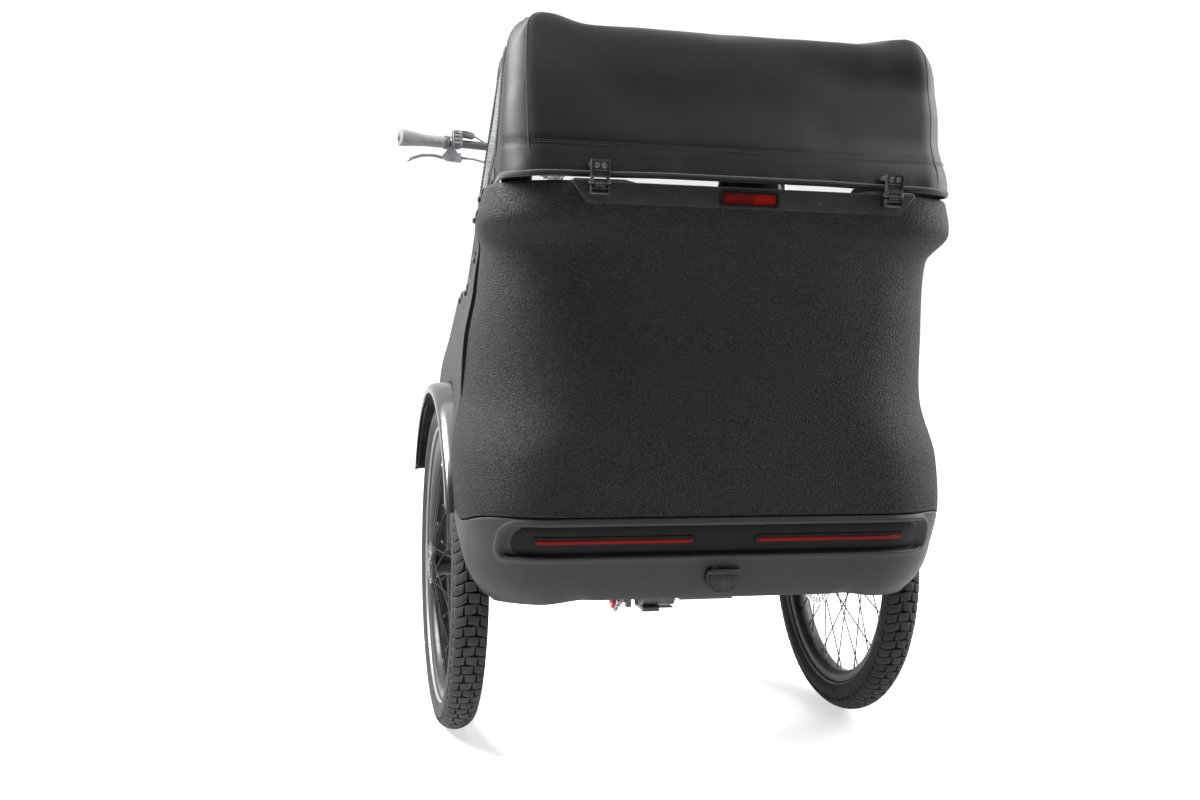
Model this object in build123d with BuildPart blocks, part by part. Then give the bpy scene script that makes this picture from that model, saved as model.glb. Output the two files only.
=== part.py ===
from build123d import *
import os
from math import cos, sin, radians

os.makedirs("parts", exist_ok=True)

# Electric family cargo tricycle: two fixed rear wheels carry a hollow passenger
# box with a tilting canopy, and the rider's front half leans about a
# longitudinal pivot under the box.  Millimetres, X right, Y forward, Z up,
# origin on the ground under the middle of the whole vehicle.

# ---------------------------------------------------------------- dimensions
REAR_AXLE_Y = -645.0
WHEELBASE = 1500.0
WHEEL_R = 314.5          # 24 inch wheel with a wide tyre
TYRE_W = 66.0
TRACK_HALF = 404.0
RIM_FLANGE_R = 258.0
RIM_BED_R = 246.0
RIM_INNER_R = 237.0
RIM_HALF_W = 20.0
RIM_BED_HALF_W = 16.0
SPOKE_R = 1.3
SPOKES_PER_SIDE = 18
DISC_R = 101.5
STUB_R = 10.0            # rear stub axle
HUB_BORE_R = 10.3

WALL = 34.0              # moulded foam wall of the box
FLOOR_Z0, FLOOR_Z1 = 368.0, 380.0
RAIL_X, RAIL_W, RAIL_Z0 = 190.0, 40.0, 338.0
WELL_R, WELL_T = 350.0, 16.0
WELL_X = 328.0           # inner side of the wheel space
FENDER_R0, FENDER_R1 = 343.0, 349.7
FENDER_X0, FENDER_X1 = 380.0, 452.0
SEAM_Y, SEAM_GAP = -265.0, 3.0
BUMPER_TOP = 473.0
RIM_TOP = 1008.0

LEAN_Z = 330.0
TOW_Z = 325.0            # bolt holes of the tow plate
LEAN_SHAFT_R, LEAN_BORE_R, LEAN_HOUSING_R = 24.0, 24.3, 34.0
HEAD_ANGLE = 69.0
AXIS_Y_AT_HUB = 1448.6   # steering axis at front axle height, ahead of rear axle
FORK_LEG_X, FORK_LEG_R = 66.0, 14.0
STEERER_R, HEAD_BORE_R, HEAD_TUBE_R = 15.0, 15.3, 27.0
BAR_R = 11.1
BAR_CLAMP_R, BAR_CLAMP_HALF = 15.9, 34.0
BAR_Y, BAR_Z = 1165.0, 1205.0
CRANK_Y, CRANK_Z, CRANK_L = 860.0, 300.0, 170.0
CANOPY_T = 5.0
CANOPY_GAP = 12.0
HINGE_Y, HINGE_Z = -519.0, 1005.0


def fwd(rel):
    """Y of a point given ahead of the rear axle."""
    return REAR_AXLE_Y + rel


def steer_point(s):
    """Point on the steering axis, s mm above front axle height along it."""
    return (0, fwd(AXIS_Y_AT_HUB) - s * cos(radians(HEAD_ANGLE)),
            WHEEL_R + s * sin(radians(HEAD_ANGLE)))


STEER_DIR = (0, -cos(radians(HEAD_ANGLE)), sin(radians(HEAD_ANGLE)))


# ------------------------------------------------------------ small helpers
def block(x0, x1, y0, y1, z0, z1, mode=Mode.ADD):
    with BuildSketch(Plane.XY.offset(z0)) as base:
        with Locations(((x0 + x1) / 2, (y0 + y1) / 2)):
            Rectangle(abs(x1 - x0), abs(y1 - y0))
    extrude(base.sketch, amount=z1 - z0, mode=mode)


def rod(p, q, r, mode=Mode.ADD):
    p, q = Vector(*p), Vector(*q)
    with BuildSketch(Plane(origin=p, z_dir=q - p)) as end:
        Circle(r)
    extrude(end.sketch, amount=(q - p).length, mode=mode)


def tube(points, r, bend):
    with BuildLine() as route:
        FilletPolyline(*points, radius=bend)
    with BuildSketch(Plane(origin=route.line @ 0, z_dir=route.line % 0)) as end:
        Circle(r)
    sweep(end.sketch, path=route.line)


def plan_outline(z, half_rear, half_front, y_rear, y_front, r_rear, r_front):
    """Rounded trapezoid in plan, narrower towards the front."""
    with BuildSketch(Plane.XY.offset(z)) as outline:
        with BuildLine():
            FilletPolyline(
                (-half_rear, fwd(y_rear)), (half_rear, fwd(y_rear)),
                (half_front, fwd(y_front)), (-half_front, fwd(y_front)),
                radius=[r_rear, r_rear, r_front, r_front], close=True)
        make_face()
    return outline.sketch


# ------------------------------------------------------- body section tables
# z, half_rear, half_front, y_rear, y_front, r_rear, r_front
BODY = [
    (325, 426, 375, -420, 395, 147, 50),
    (392, 446, 392, -440, 400, 155, 50),
    (473, 447, 398, -460, 400, 150, 50),
    (556, 451, 398, -455, 400, 168, 55),
    (663, 433, 393, -442, 398, 200, 60),
    (752, 426, 372, -437, 395, 178, 60),
    (840, 412, 353, -440, 392, 150, 60),
    (906, 411, 336, -455, 390, 147, 60),
    (950, 430, 328, -500, 390, 140, 60),
    (1008, 418, 318, -512, 390, 147, 60),
]
CANOPY = [
    (800, 398, 342, -565, 460, 96, 60),
    (1012, 394, 316, -503, 430, 80, 60),
    (1180, 388, 290, -430, 400, 62, 60),
    (1292, 380, 270, -366, 380, 50, 60),
    (1380, 372, 256, -312, 364, 42, 60),
]
# y, z of the side sill, from the rear rim down to the low front edge
SILL = [(-285, 1008), (-195, 975), (-75, 900), (60, 846), (420, 832)]


def body_loft(inset, mode=Mode.ADD):
    loft([plan_outline(z, hr - inset, hf - inset, yr + inset, yf - inset, rr - inset, rf - inset)
          for z, hr, hf, yr, yf, rr, rf in BODY], ruled=True, mode=mode)


def canopy_loft(inset, mode=Mode.ADD):
    loft([plan_outline(z, hr - inset, hf - inset, yr + inset, yf - inset, rr - inset, rf - inset)
          for z, hr, hf, yr, yf, rr, rf in CANOPY], ruled=True, mode=mode)


def above_sill(lift, top, mode):
    """Everything above the sill line raised by lift, right across the body."""
    line = [(fwd(-620), RIM_TOP + lift)] + [(fwd(y), z + lift) for y, z in SILL]
    with BuildSketch(Plane.YZ) as region:
        with BuildLine():
            FilletPolyline(*line, radius=[8, 60, 90, 90])
            Polyline(line[-1], (fwd(520), line[-1][1]), (fwd(520), top),
                     (fwd(-620), top), line[0])
        make_face()
    extrude(region.sketch, amount=600, both=True, mode=mode)


def canopy_profile(inset, mode):
    """Side view of the canopy: leaning back, arched roof, raked front."""
    with BuildSketch(Plane.YZ) as profile:
        with BuildLine():
            FilletPolyline(
                (fwd(-560), 780), (fwd(-560), 1150), (fwd(-372), 1294 - inset),
                (fwd(-80), 1330 - inset), (fwd(205 - inset), 1312 - inset),
                (fwd(392 - inset), 830), (fwd(392 - inset), 780),
                radius=[20, 20, 30, 700, 60, 20, 20], close=True)
        make_face()
    extrude(profile.sketch, amount=600, both=True, mode=mode)


def side_cylinder(side, x0, x1, r, mode=Mode.ADD):
    """Cylinder about the rear axle line on one side, with a skirt to the ground."""
    with BuildSketch(Plane.YZ.offset(side * x0)) as disc:
        with Locations((fwd(0), WHEEL_R)):
            Circle(r)
        with Locations((fwd(0), WHEEL_R / 2)):
            Rectangle(2 * r, WHEEL_R)
    extrude(disc.sketch, amount=side * (x1 - x0), mode=mode)


# -------------------------------------------------------- construction solids
with BuildPart() as body_outer:
    body_loft(0)

with BuildPart() as body_inner:
    body_loft(WALL)

with BuildPart() as wheel_space:
    for side in (-1, 1):
        side_cylinder(side, WELL_X, 560, WELL_R)

with BuildPart() as well_block:
    for side in (-1, 1):
        side_cylinder(side, WELL_X - WELL_T, 560, WELL_R + WELL_T)

with BuildPart() as wall_ring:
    add(body_outer.part)
    add(body_inner.part, mode=Mode.SUBTRACT)
    add(wheel_space.part, mode=Mode.SUBTRACT)
    above_sill(0, 1250, Mode.SUBTRACT)

made = {}


def finish(name, builder):
    builder.part.label = name
    made[name] = builder.part


# ------------------------------------------------------------- passenger box
with BuildPart() as box_rear_shell:
    add(wall_ring.part)
    split(bisect_by=Plane.XZ.offset(-fwd(SEAM_Y - SEAM_GAP / 2)), keep=Keep.TOP)
    split(bisect_by=Plane.XY.offset(BUMPER_TOP), keep=Keep.TOP)
finish("box_rear_shell", box_rear_shell)

# light recess in the bumper: depth behind the skin, z band, half width
LIGHT_DEPTH, LIGHT_FACE = 14.0, 5.0
LIGHT_Z0, LIGHT_Z1, LIGHT_HALF = 405.0, 457.0, 385.0
with BuildPart() as light_band:
    body_loft(0)
    body_loft(LIGHT_DEPTH, Mode.SUBTRACT)
    block(-LIGHT_HALF, LIGHT_HALF, fwd(-600), fwd(-330), LIGHT_Z0, LIGHT_Z1,
          Mode.INTERSECT)

with BuildPart() as rear_bumper:
    add(wall_ring.part)
    split(bisect_by=Plane.XZ.offset(-fwd(SEAM_Y - SEAM_GAP / 2)), keep=Keep.TOP)
    split(bisect_by=Plane.XY.offset(BUMPER_TOP - 1.5), keep=Keep.BOTTOM)
    add(light_band.part, mode=Mode.SUBTRACT)
finish("rear_bumper", rear_bumper)

with BuildPart() as light_core:
    body_loft(LIGHT_FACE)

with BuildPart() as light_bar:
    add(light_band.part)
    add(light_core.part, mode=Mode.INTERSECT)
finish("light_bar", light_bar)

# x_in, x_out of each red strip, and its height band
STRIPS = [(58, 326), (-326, -58)]
STRIP_Z0, STRIP_Z1 = 426.5, 433.5
with BuildPart() as strip_zones:
    for x0, x1 in STRIPS:
        block(x0, x1, fwd(-600), fwd(-330), STRIP_Z0, STRIP_Z1)

with BuildPart() as tail_lights:
    body_loft(0.8)
    add(light_core.part, mode=Mode.SUBTRACT)
    add(strip_zones.part, mode=Mode.INTERSECT)
finish("tail_lights", tail_lights)

for name, keep in (("box_side_left", Keep.BOTTOM), ("box_side_right", Keep.TOP)):
    with BuildPart() as side_panel:
        add(wall_ring.part)
        split(bisect_by=Plane.XZ.offset(-fwd(SEAM_Y + SEAM_GAP / 2)), keep=Keep.BOTTOM)
        split(bisect_by=Plane.XZ.offset(-fwd(330)), keep=Keep.TOP)
        split(bisect_by=Plane.YZ, keep=keep)
    finish(name, side_panel)

with BuildPart() as box_front_wall:
    add(wall_ring.part)
    split(bisect_by=Plane.XZ.offset(-fwd(331)), keep=Keep.BOTTOM)
    split(bisect_by=Plane.XY.offset(FLOOR_Z0 + 2), keep=Keep.TOP)
finish("box_front_wall", box_front_wall)

with BuildPart() as box_floor:
    body_loft(WALL + 1)
    block(-WELL_X + WELL_T, WELL_X - WELL_T, fwd(-600), fwd(600), FLOOR_Z0, FLOOR_Z1,
          Mode.INTERSECT)
finish("box_floor", box_floor)

for name, keep in (("wheel_well_left", Keep.BOTTOM), ("wheel_well_right", Keep.TOP)):
    with BuildPart() as wheel_well:
        body_loft(WALL + 0.5)
        add(well_block.part, mode=Mode.INTERSECT)
        add(wheel_space.part, mode=Mode.SUBTRACT)
        split(bisect_by=Plane.XY.offset(FLOOR_Z1 + 0.5), keep=Keep.TOP)
        split(bisect_by=Plane.YZ, keep=keep)
    finish(name, wheel_well)

BENCH_X = WELL_X - WELL_T - 0.5
with BuildPart() as bench_board:
    block(-BENCH_X, BENCH_X, fwd(-385), fwd(-20), 548, 560)
    block(-BENCH_X, BENCH_X, fwd(-32), fwd(-20), FLOOR_Z1, 548)
finish("bench_board", bench_board)

with BuildPart() as bench_cushion:
    block(-300, 300, fwd(-330), fwd(-15), 560.5, 632)
    fillet(bench_cushion.edges(), 18)
finish("bench_cushion", bench_cushion)

with BuildPart() as bench_backrest:
    block(-284, 284, fwd(-386), fwd(-331), 640, 930)
    fillet(bench_backrest.edges(), 18)
finish("bench_backrest", bench_backrest)

for name, side in (("fender_left", -1), ("fender_right", 1)):
    with BuildPart() as fender:
        with BuildSketch(Plane.YZ.offset(side * FENDER_X0)):
            with BuildLine():
                CenterArc((fwd(0), WHEEL_R), FENDER_R1, 25, 130)
                CenterArc((fwd(0), WHEEL_R), FENDER_R0, 25, 130)
                for a in (25, 155):
                    Line((fwd(0) + FENDER_R0 * cos(radians(a)), WHEEL_R + FENDER_R0 * sin(radians(a))),
                         (fwd(0) + FENDER_R1 * cos(radians(a)), WHEEL_R + FENDER_R1 * sin(radians(a))))
            make_face()
        extrude(amount=side * (FENDER_X1 - FENDER_X0))
    finish(name, fender)

# ------------------------------------------------------------ rear rim fittings
RAIL_HALF = 276.0
with BuildPart() as rim_rail:
    with BuildSketch(Plane.XZ.offset(-fwd(-470))):
        with BuildLine():
            Polyline((-264, 973), (264, 973), (293, 1010), (203, 1010), (183, 1006),
                     (-183, 1006), (-203, 1010), (-293, 1010), (-264, 973))
        make_face()
    extrude(amount=44.5)
    body_loft(0, Mode.SUBTRACT)
    split(bisect_by=Plane.XZ.offset(-fwd(-496)), keep=Keep.TOP)
finish("rim_rail", rim_rail)

with BuildPart() as rear_reflector:
    block(-46, 46, fwd(-519.5), fwd(-514.5), 979, 998)
    fillet(rear_reflector.edges().filter_by(Axis.Y), 3)
finish("rear_reflector", rear_reflector)

# hinge stations on the rail, |x|; the knuckle is fixed, the ears tilt
HINGES = (-245.5, 245.5)
HINGE_HALF = 16.5
with BuildPart() as hinge_brackets:
    for xc in HINGES:
        block(xc - 9, xc + 9, fwd(-524.5), fwd(-514.5), 985, 998)
        rod((xc - 9, fwd(HINGE_Y - 1), HINGE_Z), (xc + 9, fwd(HINGE_Y - 1), HINGE_Z), 4.5)
        block(xc - 9, xc + 9, fwd(-524.5), fwd(-515.5), 998, 1005)
        rod((xc - HINGE_HALF, fwd(HINGE_Y - 1), HINGE_Z), (xc + HINGE_HALF, fwd(HINGE_Y - 1), HINGE_Z), 2.0)
finish("hinge_brackets", hinge_brackets)

with BuildPart() as socket_cover:
    with BuildSketch(Plane.XZ.offset(-fwd(-436))):
        with Locations((0, 363)):
            RectangleRounded(61, 42, 10)
    extrude(amount=8)
    body_loft(0, Mode.SUBTRACT)
finish("socket_cover", socket_cover)

# ------------------------------------------------------------- rear running gear
with BuildPart() as rear_subframe:
    for side in (-1, 1):
        block(side * RAIL_X - RAIL_W / 2, side * RAIL_X + RAIL_W / 2, fwd(-372), fwd(402),
              RAIL_Z0, FLOOR_Z0)
    block(-RAIL_X, RAIL_X, fwd(-372), fwd(-342), RAIL_Z0, FLOOR_Z0)
    block(-RAIL_X, RAIL_X, fwd(372), fwd(402), RAIL_Z0, FLOOR_Z0)
    rod((0, fwd(300), LEAN_Z), (0, fwd(440), LEAN_Z), LEAN_HOUSING_R)
    split(bisect_by=Plane.XY.offset(FLOOR_Z0), keep=Keep.BOTTOM)
    rod((0, fwd(318), LEAN_Z), (-40, fwd(318), LEAN_Z), 12)
    rod((0, fwd(306), LEAN_Z), (0, fwd(460), LEAN_Z), LEAN_BORE_R, Mode.SUBTRACT)
    block(-48, 48, fwd(-352), fwd(-344), TOW_Z - 16, RAIL_Z0 + 4)
    with BuildSketch(Plane.XZ.offset(-fwd(-340))):
        with Locations((-30, TOW_Z), (30, TOW_Z)):
            Circle(4.25)
    extrude(amount=20, mode=Mode.SUBTRACT)
finish("rear_subframe", rear_subframe)

GEARBOX_X0, GEARBOX_X1 = -30.0, 34.0
IDLER_Y, IDLER_Z, IDLER_R = 60.0, 217.0, 17.0     # chain tensioner wheel under the axle
with BuildPart() as axle_housing:
    with BuildSketch(Plane.YZ.offset(GEARBOX_X0)):
        with Locations((fwd(0), 280)):
            RectangleRounded(112, 110, 32)
    extrude(amount=GEARBOX_X1 - GEARBOX_X0)
    rod((-326, fwd(0), WHEEL_R), (326, fwd(0), WHEEL_R), 22)
    block(-41, GEARBOX_X0, fwd(IDLER_Y - 14), fwd(IDLER_Y + 3), IDLER_Z - 12, IDLER_Z + 52)
    for side in (-1, 1):
        rod((side * 322, fwd(0), WHEEL_R), (side * 334, fwd(0), WHEEL_R), 44)
        rod((side * 334, fwd(0), WHEEL_R), (side * 438, fwd(0), WHEEL_R), STUB_R)
        block(side * 190 - 25, side * 190 + 25, fwd(-30), fwd(30), 288, RAIL_Z0)
        block(side * 322 if side > 0 else -334, 334 if side > 0 else -322,
              fwd(-128), fwd(-20), 296, 334)
finish("axle_housing", axle_housing)

with BuildPart() as brake_calipers:
    for side in (-1, 1):
        x0, x1 = sorted((side * 334, side * 364))
        block(x0, x1, fwd(-128), fwd(-78), 288, 342)
        s0, s1 = sorted((side * 347.5, side * 352.5))
        rod((s0, fwd(0), WHEEL_R), (s1, fwd(0), WHEEL_R), DISC_R + 4, Mode.SUBTRACT)
finish("brake_calipers", brake_calipers)

CHAIN_X0, CHAIN_X1 = -50.0, -41.0
AXLE_SPROCKET_R, JACK_SPROCKET_R = 45.0, 26.0
with BuildPart() as drive_sprockets:
    rod((CHAIN_X0, fwd(0), WHEEL_R), (CHAIN_X1, fwd(0), WHEEL_R), AXLE_SPROCKET_R)
    rod((CHAIN_X0 - 1, fwd(0), WHEEL_R), (CHAIN_X1 + 1, fwd(0), WHEEL_R), 22.2, Mode.SUBTRACT)
    rod((CHAIN_X0, fwd(318), LEAN_Z), (-40.2, fwd(318), LEAN_Z), JACK_SPROCKET_R)
    rod((CHAIN_X0, fwd(IDLER_Y), IDLER_Z), (CHAIN_X1, fwd(IDLER_Y), IDLER_Z), IDLER_R)
finish("drive_sprockets", drive_sprockets)

with BuildPart() as rear_chain:
    for grow, mode in ((6.5, Mode.ADD), (0.4, Mode.SUBTRACT)):
        with BuildSketch(Plane.YZ.offset(CHAIN_X0 + 0.5)):
            with Locations((fwd(0), WHEEL_R)):
                Circle(AXLE_SPROCKET_R + grow)
            with Locations((fwd(318), LEAN_Z)):
                Circle(JACK_SPROCKET_R + grow)
            with Locations((fwd(IDLER_Y), IDLER_Z)):
                Circle(IDLER_R + grow)
            make_hull()
        extrude(amount=8, mode=mode)
finish("rear_chain", rear_chain)


# ------------------------------------------------------------------- wheels
def axle_plane(yc):
    return Plane(origin=(0, yc, WHEEL_R), x_dir=(1, 0, 0), z_dir=(0, -1, 0))


def axle_axis(yc):
    return Axis((0, yc, WHEEL_R), (1, 0, 0))


def make_tyre(xc, yc):
    half = TYRE_W / 2
    with BuildPart() as tyre:
        with BuildSketch(axle_plane(yc)):
            with BuildLine():
                Polyline((xc - 20.5, RIM_FLANGE_R + 1), (xc - RIM_BED_HALF_W, RIM_FLANGE_R + 1),
                         (xc - RIM_BED_HALF_W, RIM_BED_R), (xc + RIM_BED_HALF_W, RIM_BED_R),
                         (xc + RIM_BED_HALF_W, RIM_FLANGE_R + 1), (xc + 20.5, RIM_FLANGE_R + 1))
                ThreePointArc((xc + 20.5, RIM_FLANGE_R + 1), (xc + half, 284), (xc + 25, 304.5))
                ThreePointArc((xc + 25, 304.5), (xc, WHEEL_R), (xc - 25, 304.5))
                ThreePointArc((xc - 25, 304.5), (xc - half, 284), (xc - 20.5, RIM_FLANGE_R + 1))
            make_face()
        revolve(axis=axle_axis(yc))
    return tyre


def make_wheel(xc, yc, hub, bore_r, bore_x0, bore_x1, flanges):
    """Rim, hub and spokes; hub is a list of x0, x1, radius, flanges x, radius."""
    with BuildPart() as wheel:
        with BuildSketch(axle_plane(yc)):
            with BuildLine():
                Polyline((xc - RIM_HALF_W, RIM_FLANGE_R), (xc - RIM_BED_HALF_W, RIM_FLANGE_R),
                         (xc - RIM_BED_HALF_W, RIM_BED_R), (xc + RIM_BED_HALF_W, RIM_BED_R),
                         (xc + RIM_BED_HALF_W, RIM_FLANGE_R), (xc + RIM_HALF_W, RIM_FLANGE_R),
                         (xc + RIM_HALF_W, RIM_BED_R), (xc + 9, RIM_INNER_R), (xc - 9, RIM_INNER_R),
                         (xc - RIM_HALF_W, RIM_BED_R), (xc - RIM_HALF_W, RIM_FLANGE_R))
            make_face()
        revolve(axis=axle_axis(yc))
        for x0, x1, r in hub:
            rod((x0, yc, WHEEL_R), (x1, yc, WHEEL_R), r)
        for index, (fx, fr) in enumerate(flanges):
            for k in range(SPOKES_PER_SIDE):
                a = radians((k + 0.5 * index) * 360 / SPOKES_PER_SIDE)
                b = a + radians(9 if k % 2 else -9)
                rod((fx, yc + (fr - 3) * cos(b), WHEEL_R + (fr - 3) * sin(b)),
                    (xc + (4 if fx > xc else -4), yc + (RIM_INNER_R + 3) * cos(a),
                     WHEEL_R + (RIM_INNER_R + 3) * sin(a)), SPOKE_R)
        rod((bore_x0, yc, WHEEL_R), (bore_x1, yc, WHEEL_R), bore_r, Mode.SUBTRACT)
    return wheel


def make_disc(x0, x1, yc, centre_r):
    with BuildPart() as disc:
        with BuildSketch(Plane.YZ.offset(x0)):
            with Locations((yc, WHEEL_R)):
                Circle(DISC_R)
                Circle(DISC_R - 16, mode=Mode.SUBTRACT)
                Circle(24)
            with Locations((yc, WHEEL_R)):
                with PolarLocations(0, 6):
                    with Locations((52, 0)):
                        Rectangle(72, 9)
                Circle(centre_r, mode=Mode.SUBTRACT)
        extrude(amount=x1 - x0)
    return disc


for word, side in (("left", -1), ("right", 1)):
    xc = side * TRACK_HALF
    finish(f"rear_{word}_tyre", make_tyre(xc, fwd(0)))
    hub = [(side * 353, side * 446, 27), (side * 439, side * 449, 40), (side * 362, side * 368, 36)]
    finish(f"rear_{word}_wheel",
           make_wheel(xc, fwd(0), hub, HUB_BORE_R, side * 340, side * 440,
                      [(side * 365, 36), (side * 444, 40)]))
    d0, d1 = sorted((side * 349, side * 352))
    finish(f"rear_{word}_disc", make_disc(d0, d1, fwd(0), 15))

finish("front_tyre", make_tyre(0, fwd(WHEELBASE)))
finish("front_wheel",
       make_wheel(0, fwd(WHEELBASE), [(-44, 46, 17), (-33, -28, 29), (28, 33, 29)], 7.8, -60, 60,
                  [(-30.5, 29), (30.5, 29)]))
finish("front_disc", make_disc(-47, -44.2, fwd(WHEELBASE), 12))

# ------------------------------------------------------------------- canopy
# side window outline in y, z
WINDOW = [(-335, 1080), (-285, 1240), (20, 1275), (150, 1262), (235, 1030), (120, 945), (-20, 975), (-120, 1055)]


def window_zone(mode):
    with BuildSketch(Plane.YZ) as pane:
        with BuildLine():
            FilletPolyline(*[(fwd(y), z) for y, z in WINDOW], radius=[30, 40, 60, 40, 40, 40, 60, 60],
                           close=True)
        make_face()
    extrude(pane.sketch, amount=600, both=True, mode=mode)


def front_zone(mode):
    with BuildSketch(Plane.XZ.offset(-fwd(215))) as pane:
        with Locations((0, 1075)):
            RectangleRounded(430, 300, 45)
    extrude(pane.sketch, amount=-300, mode=mode)


with BuildPart() as canopy_hollow:
    canopy_loft(CANOPY_T)
    canopy_profile(CANOPY_T, Mode.INTERSECT)

with BuildPart() as canopy_skin:
    canopy_loft(0)
    canopy_profile(0, Mode.INTERSECT)
    above_sill(CANOPY_GAP, 1600, Mode.INTERSECT)
    add(canopy_hollow.part, mode=Mode.SUBTRACT)

with BuildPart() as canopy_fabric:
    add(canopy_skin.part)
    window_zone(Mode.SUBTRACT)
    front_zone(Mode.SUBTRACT)
finish("canopy_fabric", canopy_fabric)

with BuildPart() as pane_zones:
    window_zone(Mode.ADD)
    front_zone(Mode.ADD)

with BuildPart() as canopy_windows:
    add(canopy_skin.part)
    add(pane_zones.part, mode=Mode.INTERSECT)
finish("canopy_windows", canopy_windows)

# hoops inside the fabric: foot and shoulder points, y z and half width
HOOPS = [
    ((-440, 1036, 345), (-350, 1266, 345)),
    ((120, 880, 328), (160, 1290, 284)),
]
HOOP_R = 8.0
with BuildPart() as canopy_frame:
    for (fy, fz, fx), (sy, sz, sx) in HOOPS:
        tube([(-fx, fwd(fy), fz), (-sx, fwd(sy), sz), (sx, fwd(sy), sz), (fx, fwd(fy), fz)], HOOP_R, 50)
    for side in (-1, 1):
        rod((side * 240, fwd(-350), 1266), (side * 240, fwd(160), 1290), 7)
    rod((-345, fwd(-440), 1036), (345, fwd(-440), 1036), HOOP_R)
finish("canopy_frame", canopy_frame)

with BuildPart() as hinge_plates:
    for xc in HINGES:
        for x0, x1 in ((xc - HINGE_HALF, xc - 10), (xc + 10, xc + HINGE_HALF)):
            rod((x0, fwd(HINGE_Y - 1), HINGE_Z), (x1, fwd(HINGE_Y - 1), HINGE_Z), 4.5)
            block(x0, x1, fwd(-524.5), fwd(-519), HINGE_Z, 1039)
        block(xc - HINGE_HALF, xc + HINGE_HALF, fwd(-524.5), fwd(-519), 1014, 1039)
        block(xc - HINGE_HALF, xc + HINGE_HALF, fwd(-520), fwd(-440), 1028, 1038)
        rod((xc - 22, fwd(HINGE_Y - 1), HINGE_Z), (xc + 22, fwd(HINGE_Y - 1), HINGE_Z), 2.2, Mode.SUBTRACT)
    add(canopy_skin.part, mode=Mode.SUBTRACT)
    add(canopy_frame.part, mode=Mode.SUBTRACT)
finish("hinge_plates", hinge_plates)

# --------------------------------------------------------------- front frame
MOTOR_HALF = 58.0
with BuildPart() as motor_unit:
    with BuildSketch(Plane.YZ.offset(-MOTOR_HALF)):
        with Locations((fwd(865), 316)):
            RectangleRounded(150, 160, 40)
    extrude(amount=2 * MOTOR_HALF)
    fillet(motor_unit.edges().filter_by(Axis.X, reverse=True), 8)
    rod((-80, fwd(CRANK_Y), CRANK_Z), (80, fwd(CRANK_Y), CRANK_Z), 11.4, Mode.SUBTRACT)
finish("motor_unit", motor_unit)

SEAT_LOW, SEAT_HIGH = (0, fwd(838), 410), (0, fwd(672), 880)
DOWN_LOW, DOWN_HIGH = (0, fwd(925), 412), steer_point(520)
with BuildPart() as main_frame:
    rod((0, fwd(330), LEAN_Z), (0, fwd(470), LEAN_Z), LEAN_SHAFT_R)
    rod((0, fwd(448), LEAN_Z), (0, fwd(785), LEAN_Z), 32)
    block(-40, 40, fwd(772), fwd(958), 396, 428)
    block(-40, 40, fwd(772), fwd(789), 280, 428)
    block(-40, 40, fwd(941), fwd(958), 300, 428)
    rod(SEAT_LOW, SEAT_HIGH, 18)
    rod(DOWN_LOW, DOWN_HIGH, 34)
    rod((0, fwd(760), 631), (0, fwd(1080), 592), 16)
    rod(steer_point(455), steer_point(640), HEAD_TUBE_R)
    rod(steer_point(440), steer_point(660), HEAD_BORE_R, Mode.SUBTRACT)
    add(motor_unit.part, mode=Mode.SUBTRACT)
finish("main_frame", main_frame)

# battery lies along the top of the down tube
DOWN_DIR = (Vector(*DOWN_HIGH) - Vector(*DOWN_LOW)).normalized()
BATTERY_AT = Vector(*DOWN_LOW) + DOWN_DIR * 60
with BuildPart() as battery:
    with BuildSketch(Plane(origin=BATTERY_AT, x_dir=(1, 0, 0), z_dir=DOWN_DIR)):
        with Locations((0, -74)):
            RectangleRounded(84, 76, 16)
    extrude(amount=300)
    add(main_frame.part, mode=Mode.SUBTRACT)
finish("battery", battery)

CASE_X0, CASE_X1 = 62.0, 82.0
with BuildPart() as chain_case:
    with BuildSketch(Plane.YZ.offset(CASE_X0)):
        with Locations((fwd(CRANK_Y), CRANK_Z)):
            Circle(88)
        with Locations((fwd(500), LEAN_Z)):
            Circle(46)
        make_hull()
    extrude(amount=CASE_X1 - CASE_X0)
    fillet(chain_case.faces().sort_by(Axis.X)[-1].edges(), 6)
    rod((40, fwd(CRANK_Y), CRANK_Z), (100, fwd(CRANK_Y), CRANK_Z), 22, Mode.SUBTRACT)
    rod((31, fwd(500), LEAN_Z), (CASE_X0, fwd(500), LEAN_Z), 14)
    add(main_frame.part, mode=Mode.SUBTRACT)
finish("chain_case", chain_case)

SEAT_DIR = (Vector(*SEAT_HIGH) - Vector(*SEAT_LOW)).normalized()
with BuildPart() as seat_post:
    rod(SEAT_HIGH, tuple(Vector(*SEAT_HIGH) + SEAT_DIR * 42), 14)
    block(-24, 24, fwd(632), fwd(686), 912, 928)
finish("seat_post", seat_post)

# saddle stations: y, half width, underside z, top z
SADDLE = [(498, 82, 944, 978), (560, 92, 936, 982), (650, 52, 934, 974), (745, 20, 938, 966)]
with BuildPart() as saddle:
    for y, half, z0, z1 in SADDLE:
        with BuildSketch(Plane.XZ.offset(-fwd(y))):
            with Locations((0, (z0 + z1) / 2)):
                RectangleRounded(2 * half, z1 - z0, 13)
    loft(ruled=True)
    block(-18, 18, fwd(636), fwd(682), 928, 940)
finish("saddle", saddle)

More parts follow.
